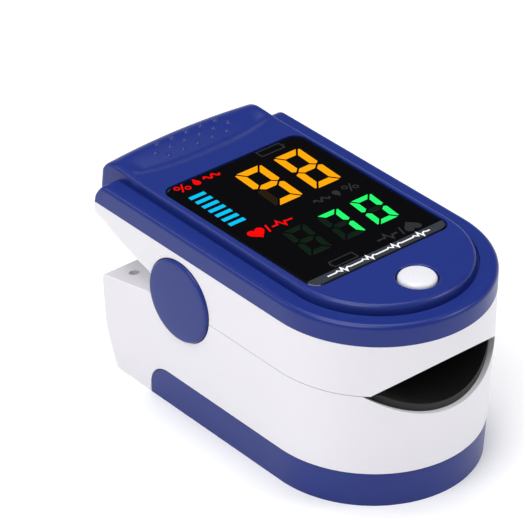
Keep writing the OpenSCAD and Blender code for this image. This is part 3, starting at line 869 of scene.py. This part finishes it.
def hinge_caps():
    """Blue discs over the ends of the hinge pin, faintly domed with a rounded edge."""
    radius = sizes().cap_radius
    inner = 1.55 * MM - SIDE
    outer = 0.1 * MM - CAP_OUT
    crown = 0.1 * MM
    left = rod("hinge_cap_left_disc", radius, (inner, HINGE.y, HINGE.z), (outer, HINGE.y, HINGE.z), 128)
    round_edges(left, lambda a, b: max(a.x, b.x) < outer + GAP / 2, 0.4 * MM, 5)
    inset_rings(left, lambda c, n: n.x < -0.9999, 0.85 * MM, 6)

    def dome(p):
        r = math.hypot(p.y - HINGE.y, p.z - HINGE.z) / radius
        lift = crown * (1 - r * r) if p.x < outer + GAP / 2 else 0
        return Vector((p.x - lift, p.y, p.z))

    reshape(left, dome)
    right = copied(left, "hinge_cap_right_disc", lambda p: Vector((-p.x, p.y, p.z)))
    return [
        finished(cap, "lower_jaw", MATERIALS["cover"], "cover_blue", [f"hinge_cap_{word}"])
        for cap, word in ((left, "left"), (right, "right"))
    ]


def inset_rings(obj, test, width, count):
    """Rings of faces within the one face that passes the test, for a dome to bend."""
    edit(obj, "FACE", test)
    for _ in range(count):
        bpy.ops.mesh.inset(thickness=width)
    bpy.ops.object.mode_set(mode="OBJECT")


def power_button():
    """Domed white button with the flange and stem that keep it under the cover."""
    radius = sizes().button_radius
    low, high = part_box("power_button")
    flange_top = low.z + 0.65 * MM
    rim = high.z - 0.15 * MM
    cap = post("power_button_cap", radius, BUTTON_Y, flange_top - GAP, rim, 96)
    round_edges(cap, lambda a, b: min(a.z, b.z) > rim - GAP / 2, 0.45 * MM, 6)
    inset_rings(cap, lambda c, n: n.z > 0.9999, 0.4 * MM, 5)
    flange = post("flange", radius + 0.6 * MM, BUTTON_Y, flange_top - 0.5 * MM, flange_top, 80)
    combine(cap, flange, "UNION")
    stem = post("stem", 1.2 * MM, BUTTON_Y, low.z, flange_top - 0.2 * MM, 48)
    combine(cap, stem, "UNION")

    def dome(p):
        r = math.hypot(p.x, p.y - BUTTON_Y) / radius
        inside = p.z > high.z - 0.5 * MM and r < 1
        return Vector((p.x, p.y, p.z + 0.28 * MM * (1 - r * r))) if inside else p

    reshape(cap, dome)
    return finished(cap, "button", MATERIALS["button"], "button_white", ["power_button"])


# ---------- finger pads ----------


def finger_pads():
    """Black rubber linings of the two jaws and the optical windows in them."""
    s = sizes()
    trough_axis = s.trough_floor + s.trough_radius
    arch_axis = s.arch_crown - s.arch_radius
    arch_back = s.arch_radius + s.pad_thickness - 0.1 * MM
    return [
        finger_pad("lower", s.trough_radius, trough_axis, 0.85 * MM, 10 * MM, JOINT - 0.2 * MM),
        finger_pad("upper", arch_back, arch_axis, WALL + 0.1 * MM, JOINT + 0.2 * MM, 25 * MM),
        optic_lens("sensor_window", "lower_jaw", True),
        optic_lens("emitter_window", "upper_jaw", False),
    ]


def finger_pad(word, radius, axis, inset, z0, z1):
    """Lining of one jaw, closed at the rear by a finger stop. axis is the height of its curve's axis."""
    pad = nose_prism(f"{word}_finger_pad_lining", SIDE - inset, CHAMBER, z0, z1)
    outer = bore("outer", radius - 0.05 * MM, axis, CHAMBER + MM, 190)
    combine(pad, outer, "INTERSECT")
    hollow = radius - sizes().pad_thickness
    stop = CHAMBER - 0.9 * MM
    combine(pad, bore("hollow", hollow, axis, stop, 190))
    rim = lambda p: abs(math.hypot(p.x, p.z - axis) - hollow) < 0.02 * MM and p.y < -12 * MM
    round_edges(pad, lambda a, b: rim(a) and rim(b) and on_nose(a, SIDE - inset), 0.3 * MM, 4)
    combine(pad, post("optic", 3 * MM, OPTIC_Y, 10 * MM, 28 * MM))
    return finished(pad, f"{word}_jaw", MATERIALS["rubber"], "pad_rubber", [f"{word}_finger_pad"])


def optic_lens(node, body, faces_up):
    """Round window over the emitter or the sensor, its edge softened on the finger's side."""
    low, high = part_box(node)
    lens = post(f"{node}_lens", (high.x - low.x) / 2, OPTIC_Y, low.z, high.z)
    face = high.z if faces_up else low.z
    on_face = lambda p: abs(p.z - face) < GAP / 10
    round_edges(lens, both(on_face), 0.15 * MM, 3)
    return finished(lens, body, MATERIALS["optic"], "optic_red", [node])


# ---------- display ----------

FACE = 0.02 * MM


def flat_mark(name, corners):
    """Thin print on the window's face with this outline."""
    return flat_prism(name, corners, TOP - FACE, TOP + FACE)


def line_mark(name, points, width):
    """Thin printed line along a run of points on the window's face."""
    return ribbon(name, points, width, TOP - FACE, 2 * FACE)


def display_window():
    """Smoked window with a chamfered border."""
    size = WINDOW_HIGH - WINDOW_LOW
    pane = rounded_plate("display_window_pane", size.x, size.y, WINDOW_MID.y, WINDOW_LOW.z, TOP, 2 * MM)
    round_edges(pane, lambda a, b: min(a.z, b.z) > TOP - GAP, 0.45 * MM, 2)
    return finished(pane, "upper_jaw", MATERIALS["window"], "window_acrylic", ["display_window"], angle=20)


def legend_strip():
    """Grey printed strip with a plain pulse trace in place of words."""
    size = WINDOW_HIGH - WINDOW_LOW
    top_y = -13.4 * MM
    border = 0.35 * MM
    width, length = size.x - 2 * border, size.y - 2 * border
    strip = rounded_plate(
        "legend_strip_print", width, length, WINDOW_MID.y, TOP - FACE, TOP + FACE, 1.6 * MM
    )
    edit(strip)
    bpy.ops.mesh.bisect(plane_co=(0, top_y, 0), plane_no=(0, 1, 0), clear_outer=True, use_fill=True)
    shut(strip)
    finished(strip, "upper_jaw", MATERIALS["strip"], "legend_grey", ["legend_strip"])
    middle = (top_y + WINDOW_LOW.y + border) / 2
    beat = [
        (0, 0), (1.6, 0), (1.9, 0.25), (2.2, 0), (2.45, -0.2), (2.8, 0.55),
        (3.15, -0.55), (3.4, 0), (3.8, 0.2), (4.1, 0),
    ]
    points = [((-9.4 + 4.7 * i + x) * MM, middle + y * MM) for i in range(4) for x, y in beat]
    trace = ribbon("legend_trace", points + [(9.4 * MM, middle)], 0.26 * MM, TOP + FACE, FACE)
    return finished(trace, "upper_jaw", MATERIALS["strip_mark"])


def ribbon(name, points, width, z0, height):
    """Flat line of even width along a run of (x, y) points."""
    left, right = [], []
    for i, here in enumerate(points):
        here = Vector(here)
        before = here - Vector(points[i - 1]) if i else Vector(points[1]) - here
        after = Vector(points[i + 1]) - here if i + 1 < len(points) else before
        a, b = before.normalized(), after.normalized()
        normal = Vector((-(a + b).y, (a + b).x)).normalized()
        reach = width / 2 / max(normal.dot(Vector((-a.y, a.x))), 0.35)
        left.append(here + normal * reach)
        right.append(here - normal * reach)
    return flat_prism(name, [tuple(p) for p in left + right[::-1]], z0, z0 + height)


def segment_shapes(w, h, t, u):
    """Seven mitred bars of a figure w wide and h high: t is an upright's width, u a level bar's."""
    gap = 0.23 * MM
    c = 0.2 * t
    mid = h / 2
    top = [(c + gap, h), (w - c - gap, h), (w - t - gap / 2, h - u), (t + gap / 2, h - u)]
    upright = [
        (c, h - gap), (t - gap / 2, h - u - gap), (t - gap / 2, mid + u / 2 + gap), (0.4 * t, mid + gap),
        (0, mid + 0.4 * t), (0, h - c),
    ]
    middle = [
        (0.4 * t + gap, mid), (t + gap / 2, mid + u / 2), (w - t - gap / 2, mid + u / 2),
        (w - 0.4 * t - gap, mid), (w - t - gap / 2, mid - u / 2), (t + gap / 2, mid - u / 2),
    ]
    flip_x = lambda shape: [(w - x, y) for x, y in shape]
    flip_y = lambda shape: [(x, h - y) for x, y in shape]
    return {
        "a": top, "b": flip_x(upright), "c": flip_y(flip_x(upright)), "d": flip_y(top),
        "e": flip_y(upright), "f": upright, "g": middle,
    }


LIT = {"9": "abcdfg", "8": "abcdefg", "7": "abc", "0": "abcdef"}


def segments(name, letters, x, y, w, h, t, u, lean):
    """The named bars of one figure, its lower left corner at (x, y), leaning to the right."""
    shapes = segment_shapes(w, h, t, u)
    slope = math.tan(math.radians(lean))
    return [
        flat_mark(name, [(x + px + slope * py, y + py) for px, py in shapes[letter]])
        for letter in letters
    ]


def heart(x, y, size):
    """Outline of a heart about (x, y)."""
    points = []
    for i in range(28):
        a = 2 * math.pi * i / 28
        across = 16 * math.sin(a) ** 3
        up = 13 * math.cos(a) - 5 * math.cos(2 * a) - 2 * math.cos(3 * a) - math.cos(4 * a)
        points.append((x + across * size / 32, y + up * size / 32))
    return points


def ring(name, x, y, radius, width):
    """Flat ring on the window."""
    disc = rod(name, radius, (x, y, TOP - FACE), (x, y, TOP + FACE), 28)
    return combine(disc, rod("hole", radius - width, (x, y, TOP - GAP), (x, y, TOP + GAP), 28))


def drop(x, y, size):
    """Outline of a drop: round below, pointed above."""
    points = [(x, y + size)]
    for i in range(17):
        a = math.radians(150 + 240 * i / 16)
        points.append((x + 0.5 * size * math.cos(a), y + 0.5 * size * math.sin(a)))
    return points


def display_marks(turn, name):
    """Percent sign, drop and wave, heart and short trace, as flat prints. turn places each outline."""
    in_metres = lambda points: turn([(x * MM, y * MM) for x, y in points])
    marks = []
    for centre in ((-10.55, 16.35), (-9.15, 15.55)):
        x, y = in_metres([centre])[0]
        marks.append(ring(name, x, y, 0.48 * MM, 0.2 * MM))
    marks.append(flat_mark(name, in_metres([(-10.55, 15.1), (-10.25, 15.1), (-9.2, 16.85), (-9.5, 16.85)])))
    marks.append(flat_mark(name, turn(drop(-7.3 * MM, 15.8 * MM, 1.15 * MM))))
    wave = [(-5.9 + 0.15 * i, 15.95 + 0.42 * math.sin(i * math.pi / 4.5)) for i in range(19)]
    marks.append(line_mark(name, in_metres(wave), 0.3 * MM))
    marks.append(flat_mark(name, turn(heart(-9.47 * MM, 0.3 * MM, 2.75 * MM))))
    marks.append(flat_mark(name, in_metres([(-7.95, -0.55), (-7.65, -0.55), (-7.15, 1.15), (-7.45, 1.15)])))
    beat = [(-6.8, 0.2), (-5.9, 0.2), (-5.5, 1.0), (-4.9, -0.55), (-4.5, 0.35), (-4.1, 0.2), (-3.2, 0.2)]
    marks.append(line_mark(name, in_metres(beat), 0.28 * MM))
    return marks


def display_figures():
    """Lit figures, bars and icons, with the unlit places that show faintly between them."""
    big = dict(w=4.85 * MM, h=10.1 * MM, t=1.36 * MM, u=1.26 * MM, lean=3.7)
    small = dict(w=3.97 * MM, h=7 * MM, t=1.12 * MM, u=0.92 * MM, lean=6.4)
    big_at = {"9": -2.7 * MM, "8": 4.5 * MM}
    small_at = {"7": -1.43 * MM, "0": 4.82 * MM}
    big_y, small_y, blank_x = 3.85 * MM, -8.8 * MM, -7.68 * MM
    row = lambda letters, places, y, form: [
        bar for figure, x in places.items() for bar in segments("bar", letters(figure), x, y, **form)
    ]
    lit = lambda figure: LIT[figure]
    unlit = lambda figure: [s for s in "abcdefg" if s not in LIT[figure]]
    blank = segments("bar", "abcdefg", blank_x, small_y, **small)
    groups = (
        ("oxygen_figures", row(lit, big_at, big_y, big), "oxygen", "segment_orange", ["oxygen_digits"]),
        ("pulse_figures", row(lit, small_at, small_y, small), "pulse", "segment_green", ["pulse_digits"]),
        ("unlit_oxygen_bar", row(unlit, {"9": big_at["9"]}, big_y, big), "unlit_orange", None, ()),
        ("unlit_pulse_bars", row(unlit, small_at, small_y, small) + blank, "unlit_green", None, ()),
        ("level_bar_row", level_bars(), "bars", "segment_cyan", ["level_bars"]),
        ("display_icon_marks", display_marks(list, "mark"), "icons", "segment_red", ["display_icons"]),
        ("unlit_marks", unlit_marks(), "unlit_grey", None, ()),
    )
    return [
        finished(joined(name, parts), "upper_jaw", MATERIALS[paint], slot, nodes)
        for name, parts, paint, slot, nodes in groups
    ]


def level_bars():
    """Seven leaning bars in a column, each set a little to the right of the one below."""
    slope = math.tan(math.radians(3.7))
    x, y, w, h = -11.13 * MM, 3.95 * MM, 2.78 * MM, 0.74 * MM
    step = Vector((0.035 * MM, 1.458 * MM, 0))
    corners = [(x, y), (x + w, y), (x + w + slope * h, y + h), (x + slope * h, y + h)]
    first = flat_mark("bar", corners)
    return [first] + [copied(first, "bar", lambda p: p + step * i) for i in range(1, 7)]


def unlit_marks():
    """Marks of the upside-down reading and two small battery outlines."""

    def half_round(points):
        lower_row = min(y for x, y in points) < 3 * MM
        middle_x, middle_y = -0.65 * MM, (-5.8 if lower_row else 8.6) * MM
        return [(2 * middle_x - x, 2 * middle_y - y) for x, y in points]

    marks = display_marks(half_round, "mark")
    w, h, n = 2.1 * MM, 0.68 * MM, 0.28 * MM
    for x, y, way in ((6.6 * MM, 16.1 * MM, 1), (-4.85 * MM, -12.3 * MM, -1)):
        path = [(-w, -h), (w, -h), (w, h), (-w, h), (-w, -h)]
        path = [(x + way * px, y + way * py) for px, py in path]
        marks.append(line_mark("mark", path, 0.16 * MM))
        nub = [(x + way * (w + px), y + py) for px, py in ((0, -n), (n, -n), (n, n), (0, n))]
        marks.append(flat_mark("mark", nub))
    return marks


# ---------- inner pieces ----------


def wire(name, points, radius):
    """Round wire along a run of points."""
    curve = bpy.data.curves.new(name, "CURVE")
    curve.dimensions = "3D"
    curve.bevel_depth = radius
    curve.bevel_resolution = 3
    curve.use_fill_caps = True
    spline = curve.splines.new("POLY")
    spline.points.add(len(points) - 1)
    for point, place in zip(spline.points, points):
        point.co = (*place, 1)
    obj = bpy.data.objects.new(name, curve)
    bpy.context.collection.objects.link(obj)
    active(obj)
    bpy.ops.object.convert(target="MESH")
    return bpy.context.active_object


def hinge_springs():
    """Torsion springs: a coil of wire about the hinge pin, with a leg running rearward from each end."""
    coil, thick, pitch, leg = 2.1 * MM, 0.35 * MM, 0.8 * MM, 5 * MM
    turns, steps = 3.5, 40
    half = pitch * turns / 2
    middle = 10.4 * MM
    points = [(-middle - half, HINGE.y + leg, HINGE.z - coil)]
    for i in range(int(turns * steps) + 1):
        a = math.radians(-90) - 2 * math.pi * i / steps
        x = -middle - half + pitch * i / steps
        points.append((x, HINGE.y + coil * math.cos(a), HINGE.z + coil * math.sin(a)))
    points.append((-middle + half, HINGE.y + leg, HINGE.z + coil))
    left = wire("hinge_spring_left_wire", points, thick)
    right = copied(left, "hinge_spring_right_wire", lambda p: p + Vector((2 * middle, 0, 0)))
    for spring, word, x in ((left, "left", -middle), (right, "right", middle)):
        finish_loose(spring, "steel", [f"hinge_spring_{word}"])
        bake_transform(spring)


def finish_loose(obj, paint, nodes):
    """Smooths and paints a piece, left untied to any body, and hides the parts it replaces."""
    edit(obj)
    shut(obj)
    bpy.ops.object.shade_smooth_by_angle(angle=math.radians(50))
    obj.data.materials.clear()
    obj.data.materials.append(MATERIALS[paint])
    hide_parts(*nodes)


def ribbon_cable():
    """Flat film cable that runs rearward and turns upward in a rounded bend, cut across into strips."""
    low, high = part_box("ribbon_cable")
    thick, bend = 0.2 * MM, 2 * MM
    corners = [
        (low.y, low.z), (high.y, low.z), (high.y, high.z), (high.y - thick, high.z),
        (high.y - thick, low.z + thick), (low.y, low.z + thick),
    ]
    cable = outline("ribbon_cable_film", [(low.x, y, z) for y, z in corners], {1: bend, 4: bend - thick})
    edit(cable)
    extrude((high.x - low.x, 0, 0))
    shut(cable)
    for i in range(24):
        edit(cable)
        z = low.z + bend + (high.z - low.z - bend) * (i + 0.5) / 24
        bpy.ops.mesh.bisect(plane_co=(0, 0, z), plane_no=(0, 0, 1))
        bpy.ops.object.mode_set(mode="OBJECT")
    finish_loose(cable, "film", ["ribbon_cable"])
    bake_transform(cable)


def battery_cells():
    """Two AAA cells, head to tail: foil sleeve, crimped steel ends and a nub."""
    low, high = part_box("battery_left")
    x, z = (low.x + high.x) / 2, (low.z + high.z) / 2
    radius, nub = (high.x - low.x) / 2, 0.8 * MM
    tip = high.y - nub
    left = rod("battery_left_cell", radius, (x, low.y, z), (x, tip, z), 96)
    round_edges(left, lambda a, b: abs(a.y - b.y) < GAP / 10, 0.45 * MM, 4)
    edit(left, "FACE", lambda c, n: n.y > 0.9)
    bpy.ops.mesh.inset(thickness=radius - 2.35 * MM)
    extrude((0, nub - 0.02 * MM, 0))
    shut(left)
    on_nub = lambda p: p.y > tip + nub / 2
    round_edges(left, lambda a, b: on_nub(a) and on_nub(b) and abs(a.y - b.y) < GAP / 10, 0.25 * MM, 3)
    turn_sum = low.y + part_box("battery_right")[1].y
    right = copied(left, "battery_right_cell", lambda p: Vector((-p.x, turn_sum - p.y, p.z)))
    for cell, word in ((left, "left"), (right, "right")):
        finished(cell, "lower_jaw", MATERIALS["sleeve"], "cell_jacket", [f"battery_{word}"])
        cell.data.materials.append(MATERIALS["steel"])
        ends = [v.co.y for v in cell.data.vertices]
        bare_from, bare_to = min(ends) + 0.5 * MM, max(ends) - 0.5 * MM
        bare_from += 0 if word == "left" else nub
        bare_to -= nub if word == "left" else 0
        for face in cell.data.polygons:
            if not bare_from < face.center.y < bare_to:
                face.material_index = 1


NODE_PAINT = {
    "tray": ["battery_tray"],
    "board": ["sensor_board", "main_board"],
    "chip": [
        "photodiode", "processor_chip", "power_inductor", "switch_body", "switch_plunger", "display_module",
    ],
    "steel": [
        "battery_spring_front", "battery_spring_rear", "front_contacts", "rear_contact_bridge", "hinge_pin",
    ],
    "zinc": ["tray_screws", "casing_screws"],
    "clear": ["emitter_led"],
    "nylon": ["ribbon_socket"],
}


def paint_nodes():
    """Gives the kept inner parts their materials."""
    for paint, names in NODE_PAINT.items():
        for name in names:
            mesh = frame["nodes"][name].data
            mesh.materials.clear()
            mesh.materials.append(MATERIALS[paint])


# ---------- stage ----------


def studio():
    """Pale floor, soft lights and the camera."""
    paper_floor()
    studio_sky()
    soft_lamps()
    studio_camera()
    bpy.context.scene.view_settings.view_transform = "Standard"


def paper_floor():
    """Matt white paper that glows faintly, so that it reads as plain white far from the lamps."""
    bpy.ops.mesh.primitive_plane_add(size=6, location=(0, 0, 0))
    floor = bpy.context.active_object
    floor.name = "floor"
    paper = moulded("matt_white_paper", linear("#F5F5F6"), 0.9, 2 * MM, 0, drift=0.005)
    shader = paper.node_tree.nodes["Principled BSDF"]
    shader.inputs["Emission Color"].default_value = (1, 1, 1, 1)
    shader.inputs["Emission Strength"].default_value = 0.16
    floor.data.materials.append(paper)


def studio_sky():
    """Bright low down, dark where the top faces would mirror it, bright again overhead."""
    world = bpy.data.worlds.new("white_studio")
    bpy.context.scene.world = world
    world.use_nodes = True
    tree = world.node_tree
    place = add_node(tree, "ShaderNodeTexCoord").outputs["Generated"]
    height = add_node(tree, "ShaderNodeSeparateXYZ", {"Vector": place}).outputs["Z"]
    sky = add_node(tree, "ShaderNodeValToRGB", {"Fac": height})
    stops = sky.color_ramp.elements
    stops[0].position = 0.25
    stops[0].color = (1, 1, 1, 1)
    stops[1].position = 0.42
    stops[1].color = (0.08, 0.08, 0.085, 1)
    stops.new(0.75).color = (0.1, 0.1, 0.11, 1)
    stops.new(0.9).color = (0.9, 0.9, 0.92, 1)
    tree.links.new(sky.outputs["Color"], tree.nodes["Background"].inputs["Color"])
    tree.nodes["Background"].inputs["Strength"].default_value = 0.48


def towards(azimuth, elevation):
    """Direction from the device to a place seen at this azimuth and elevation, in degrees."""
    a, e = math.radians(azimuth), math.radians(elevation)
    return Vector((math.sin(a) * math.cos(e), -math.cos(a) * math.cos(e), math.sin(e)))


def soft_lamps():
    """Square area lamps: name, azimuth, elevation, distance, width and power."""
    middle = (CAD_LOW + CAD_HIGH) / 2
    for name, azimuth, elevation, distance, width, power in (
        ("key", -75, 58, 0.5, 0.32, 1.5),
        ("fill", 44, 39, 0.6, 0.2, 0.9),
        ("rim", -140, 34, 0.6, 0.12, 0.3),
        ("top", 150, 75, 0.55, 0.3, 1.1),
    ):
        back = towards(azimuth, elevation)
        light = bpy.data.lights.new(name, "AREA")
        light.energy = power
        light.size = width
        lamp = bpy.data.objects.new(name, light)
        bpy.context.collection.objects.link(lamp)
        lamp.location = middle + back * distance
        lamp.rotation_euler = (-back).to_track_quat("-Z", "Y").to_euler()


def studio_camera():
    """Long lens from the front left, tipped very slightly to the right."""
    azimuth, elevation, roll = -41.2, 32.48, math.radians(0.89)
    distance = 485.2 * MM
    target = Vector((-7.58, 1.25, 25.16)) * MM
    back = towards(azimuth, elevation)
    right = Vector((math.cos(math.radians(azimuth)), math.sin(math.radians(azimuth)), 0))
    up = back.cross(right)
    across = right * math.cos(roll) + up * math.sin(roll)
    upward = up * math.cos(roll) - right * math.sin(roll)
    camera = bpy.data.objects.new("camera", bpy.data.cameras.new("camera"))
    bpy.context.collection.objects.link(camera)
    camera.data.sensor_width = 36
    camera.data.lens = 239.46
    camera.data.clip_start = 0.01
    camera.data.clip_end = 10
    turned = Matrix((across, upward, back)).transposed().to_4x4()
    camera.matrix_world = Matrix.Translation(target + back * distance) @ turned
    bpy.context.scene.camera = camera


# ---------- operators ----------


class OXIMETER_OT_top_cover(bpy.types.Operator):
    """Adds the blue cover with its deck, thumb dish and window recess"""

    bl_idname = "oximeter.top_cover"
    bl_label = "Add Top Cover"
    bl_options = {"REGISTER", "UNDO"}

    def execute(self, context):
        top_cover()
        return {"FINISHED"}


class OXIMETER_OT_upper_casing(bpy.types.Operator):
    """Adds the white upper casing with its finger arch"""

    bl_idname = "oximeter.upper_casing"
    bl_label = "Add Upper Casing"
    bl_options = {"REGISTER", "UNDO"}

    def execute(self, context):
        upper_casing()
        return {"FINISHED"}


class OXIMETER_OT_lower_casing(bpy.types.Operator):
    """Adds the white lower casing with its finger trough"""

    bl_idname = "oximeter.lower_casing"
    bl_label = "Add Lower Casing"
    bl_options = {"REGISTER", "UNDO"}

    def execute(self, context):
        lower_casing()
        return {"FINISHED"}


class OXIMETER_OT_battery_cover(bpy.types.Operator):
    """Adds the sliding blue battery cover"""

    bl_idname = "oximeter.battery_cover"
    bl_label = "Add Battery Cover"
    bl_options = {"REGISTER", "UNDO"}

    def execute(self, context):
        battery_cover()
        return {"FINISHED"}


class OXIMETER_OT_hinge_caps(bpy.types.Operator):
    """Adds the round blue caps over the hinge pin"""

    bl_idname = "oximeter.hinge_caps"
    bl_label = "Add Hinge Caps"
    bl_options = {"REGISTER", "UNDO"}

    def execute(self, context):
        hinge_caps()
        return {"FINISHED"}


class OXIMETER_OT_power_button(bpy.types.Operator):
    """Adds the domed power button"""

    bl_idname = "oximeter.power_button"
    bl_label = "Add Power Button"
    bl_options = {"REGISTER", "UNDO"}

    def execute(self, context):
        power_button()
        return {"FINISHED"}


class OXIMETER_OT_finger_pads(bpy.types.Operator):
    """Adds the rubber pads and the two small optical windows"""

    bl_idname = "oximeter.finger_pads"
    bl_label = "Add Finger Pads"
    bl_options = {"REGISTER", "UNDO"}

    def execute(self, context):
        finger_pads()
        return {"FINISHED"}


class OXIMETER_OT_display_window(bpy.types.Operator):
    """Adds the smoked window over the display"""

    bl_idname = "oximeter.display_window"
    bl_label = "Add Display Window"
    bl_options = {"REGISTER", "UNDO"}

    def execute(self, context):
        display_window()
        return {"FINISHED"}


class OXIMETER_OT_legend_strip(bpy.types.Operator):
    """Adds the grey strip and its printed trace"""

    bl_idname = "oximeter.legend_strip"
    bl_label = "Add Legend Strip"
    bl_options = {"REGISTER", "UNDO"}

    def execute(self, context):
        legend_strip()
        return {"FINISHED"}


class OXIMETER_OT_display_figures(bpy.types.Operator):
    """Adds the lit and unlit figures, bars and icons"""

    bl_idname = "oximeter.display_figures"
    bl_label = "Add Display Figures"
    bl_options = {"REGISTER", "UNDO"}

    def execute(self, context):
        display_figures()
        return {"FINISHED"}


class OXIMETER_OT_hinge_springs(bpy.types.Operator):
    """Adds the two torsion springs that close the jaws"""

    bl_idname = "oximeter.hinge_springs"
    bl_label = "Add Hinge Springs"
    bl_options = {"REGISTER", "UNDO"}

    def execute(self, context):
        hinge_springs()
        return {"FINISHED"}


class OXIMETER_OT_ribbon_cable(bpy.types.Operator):
    """Adds the film cable between the jaws"""

    bl_idname = "oximeter.ribbon_cable"
    bl_label = "Add Ribbon Cable"
    bl_options = {"REGISTER", "UNDO"}

    def execute(self, context):
        ribbon_cable()
        return {"FINISHED"}


class OXIMETER_OT_battery_cells(bpy.types.Operator):
    """Adds the two AAA cells"""

    bl_idname = "oximeter.battery_cells"
    bl_label = "Add Battery Cells"
    bl_options = {"REGISTER", "UNDO"}

    def execute(self, context):
        battery_cells()
        return {"FINISHED"}


class OXIMETER_OT_inner_paint(bpy.types.Operator):
    """Gives the boards, contacts and screws their materials"""

    bl_idname = "oximeter.inner_paint"
    bl_label = "Paint Inner Parts"
    bl_options = {"REGISTER", "UNDO"}

    def execute(self, context):
        paint_nodes()
        return {"FINISHED"}


class OXIMETER_OT_studio(bpy.types.Operator):
    """Adds the floor, the lights and the camera"""

    bl_idname = "oximeter.studio"
    bl_label = "Add Studio"
    bl_options = {"REGISTER", "UNDO"}

    def execute(self, context):
        studio()
        return {"FINISHED"}


MAKERS = (
    OXIMETER_OT_top_cover,
    OXIMETER_OT_upper_casing,
    OXIMETER_OT_lower_casing,
    OXIMETER_OT_battery_cover,
    OXIMETER_OT_hinge_caps,
    OXIMETER_OT_power_button,
    OXIMETER_OT_finger_pads,
    OXIMETER_OT_display_window,
    OXIMETER_OT_legend_strip,
    OXIMETER_OT_display_figures,
    OXIMETER_OT_hinge_springs,
    OXIMETER_OT_ribbon_cable,
    OXIMETER_OT_battery_cells,
    OXIMETER_OT_inner_paint,
    OXIMETER_OT_studio,
)


class OXIMETER_PT_panel(bpy.types.Panel):
    """The sidebar panel: sizes, colours and a button for each piece"""

    bl_idname = "OXIMETER_PT_panel"
    bl_label = "Fingertip Pulse Oximeter"
    bl_space_type = "VIEW_3D"
    bl_region_type = "UI"
    bl_category = "Oximeter"

    def draw(self, context):
        for settings in (context.scene.oximeter_sizes, context.scene.oximeter_colours):
            box = self.layout.box()
            for key in settings.__annotations__:
                box.prop(settings, key)
        column = self.layout.column(align=True)
        for maker in MAKERS:
            column.operator(maker.bl_idname)


CLASSES = (OximeterSizes, OximeterColours, *MAKERS, OXIMETER_PT_panel)


def register():
    for cls in CLASSES:
        bpy.utils.register_class(cls)
    bpy.types.Scene.oximeter_sizes = bpy.props.PointerProperty(type=OximeterSizes)
    bpy.types.Scene.oximeter_colours = bpy.props.PointerProperty(type=OximeterColours)
    MATERIALS.update(make_materials())


def unregister():
    del bpy.types.Scene.oximeter_colours
    del bpy.types.Scene.oximeter_sizes
    for cls in reversed(CLASSES):
        bpy.utils.unregister_class(cls)


def main():
    register()
    for maker in MAKERS:
        group, name = maker.bl_idname.split(".")
        getattr(getattr(bpy.ops, group), name)()


if __name__ == "__main__":
    main()
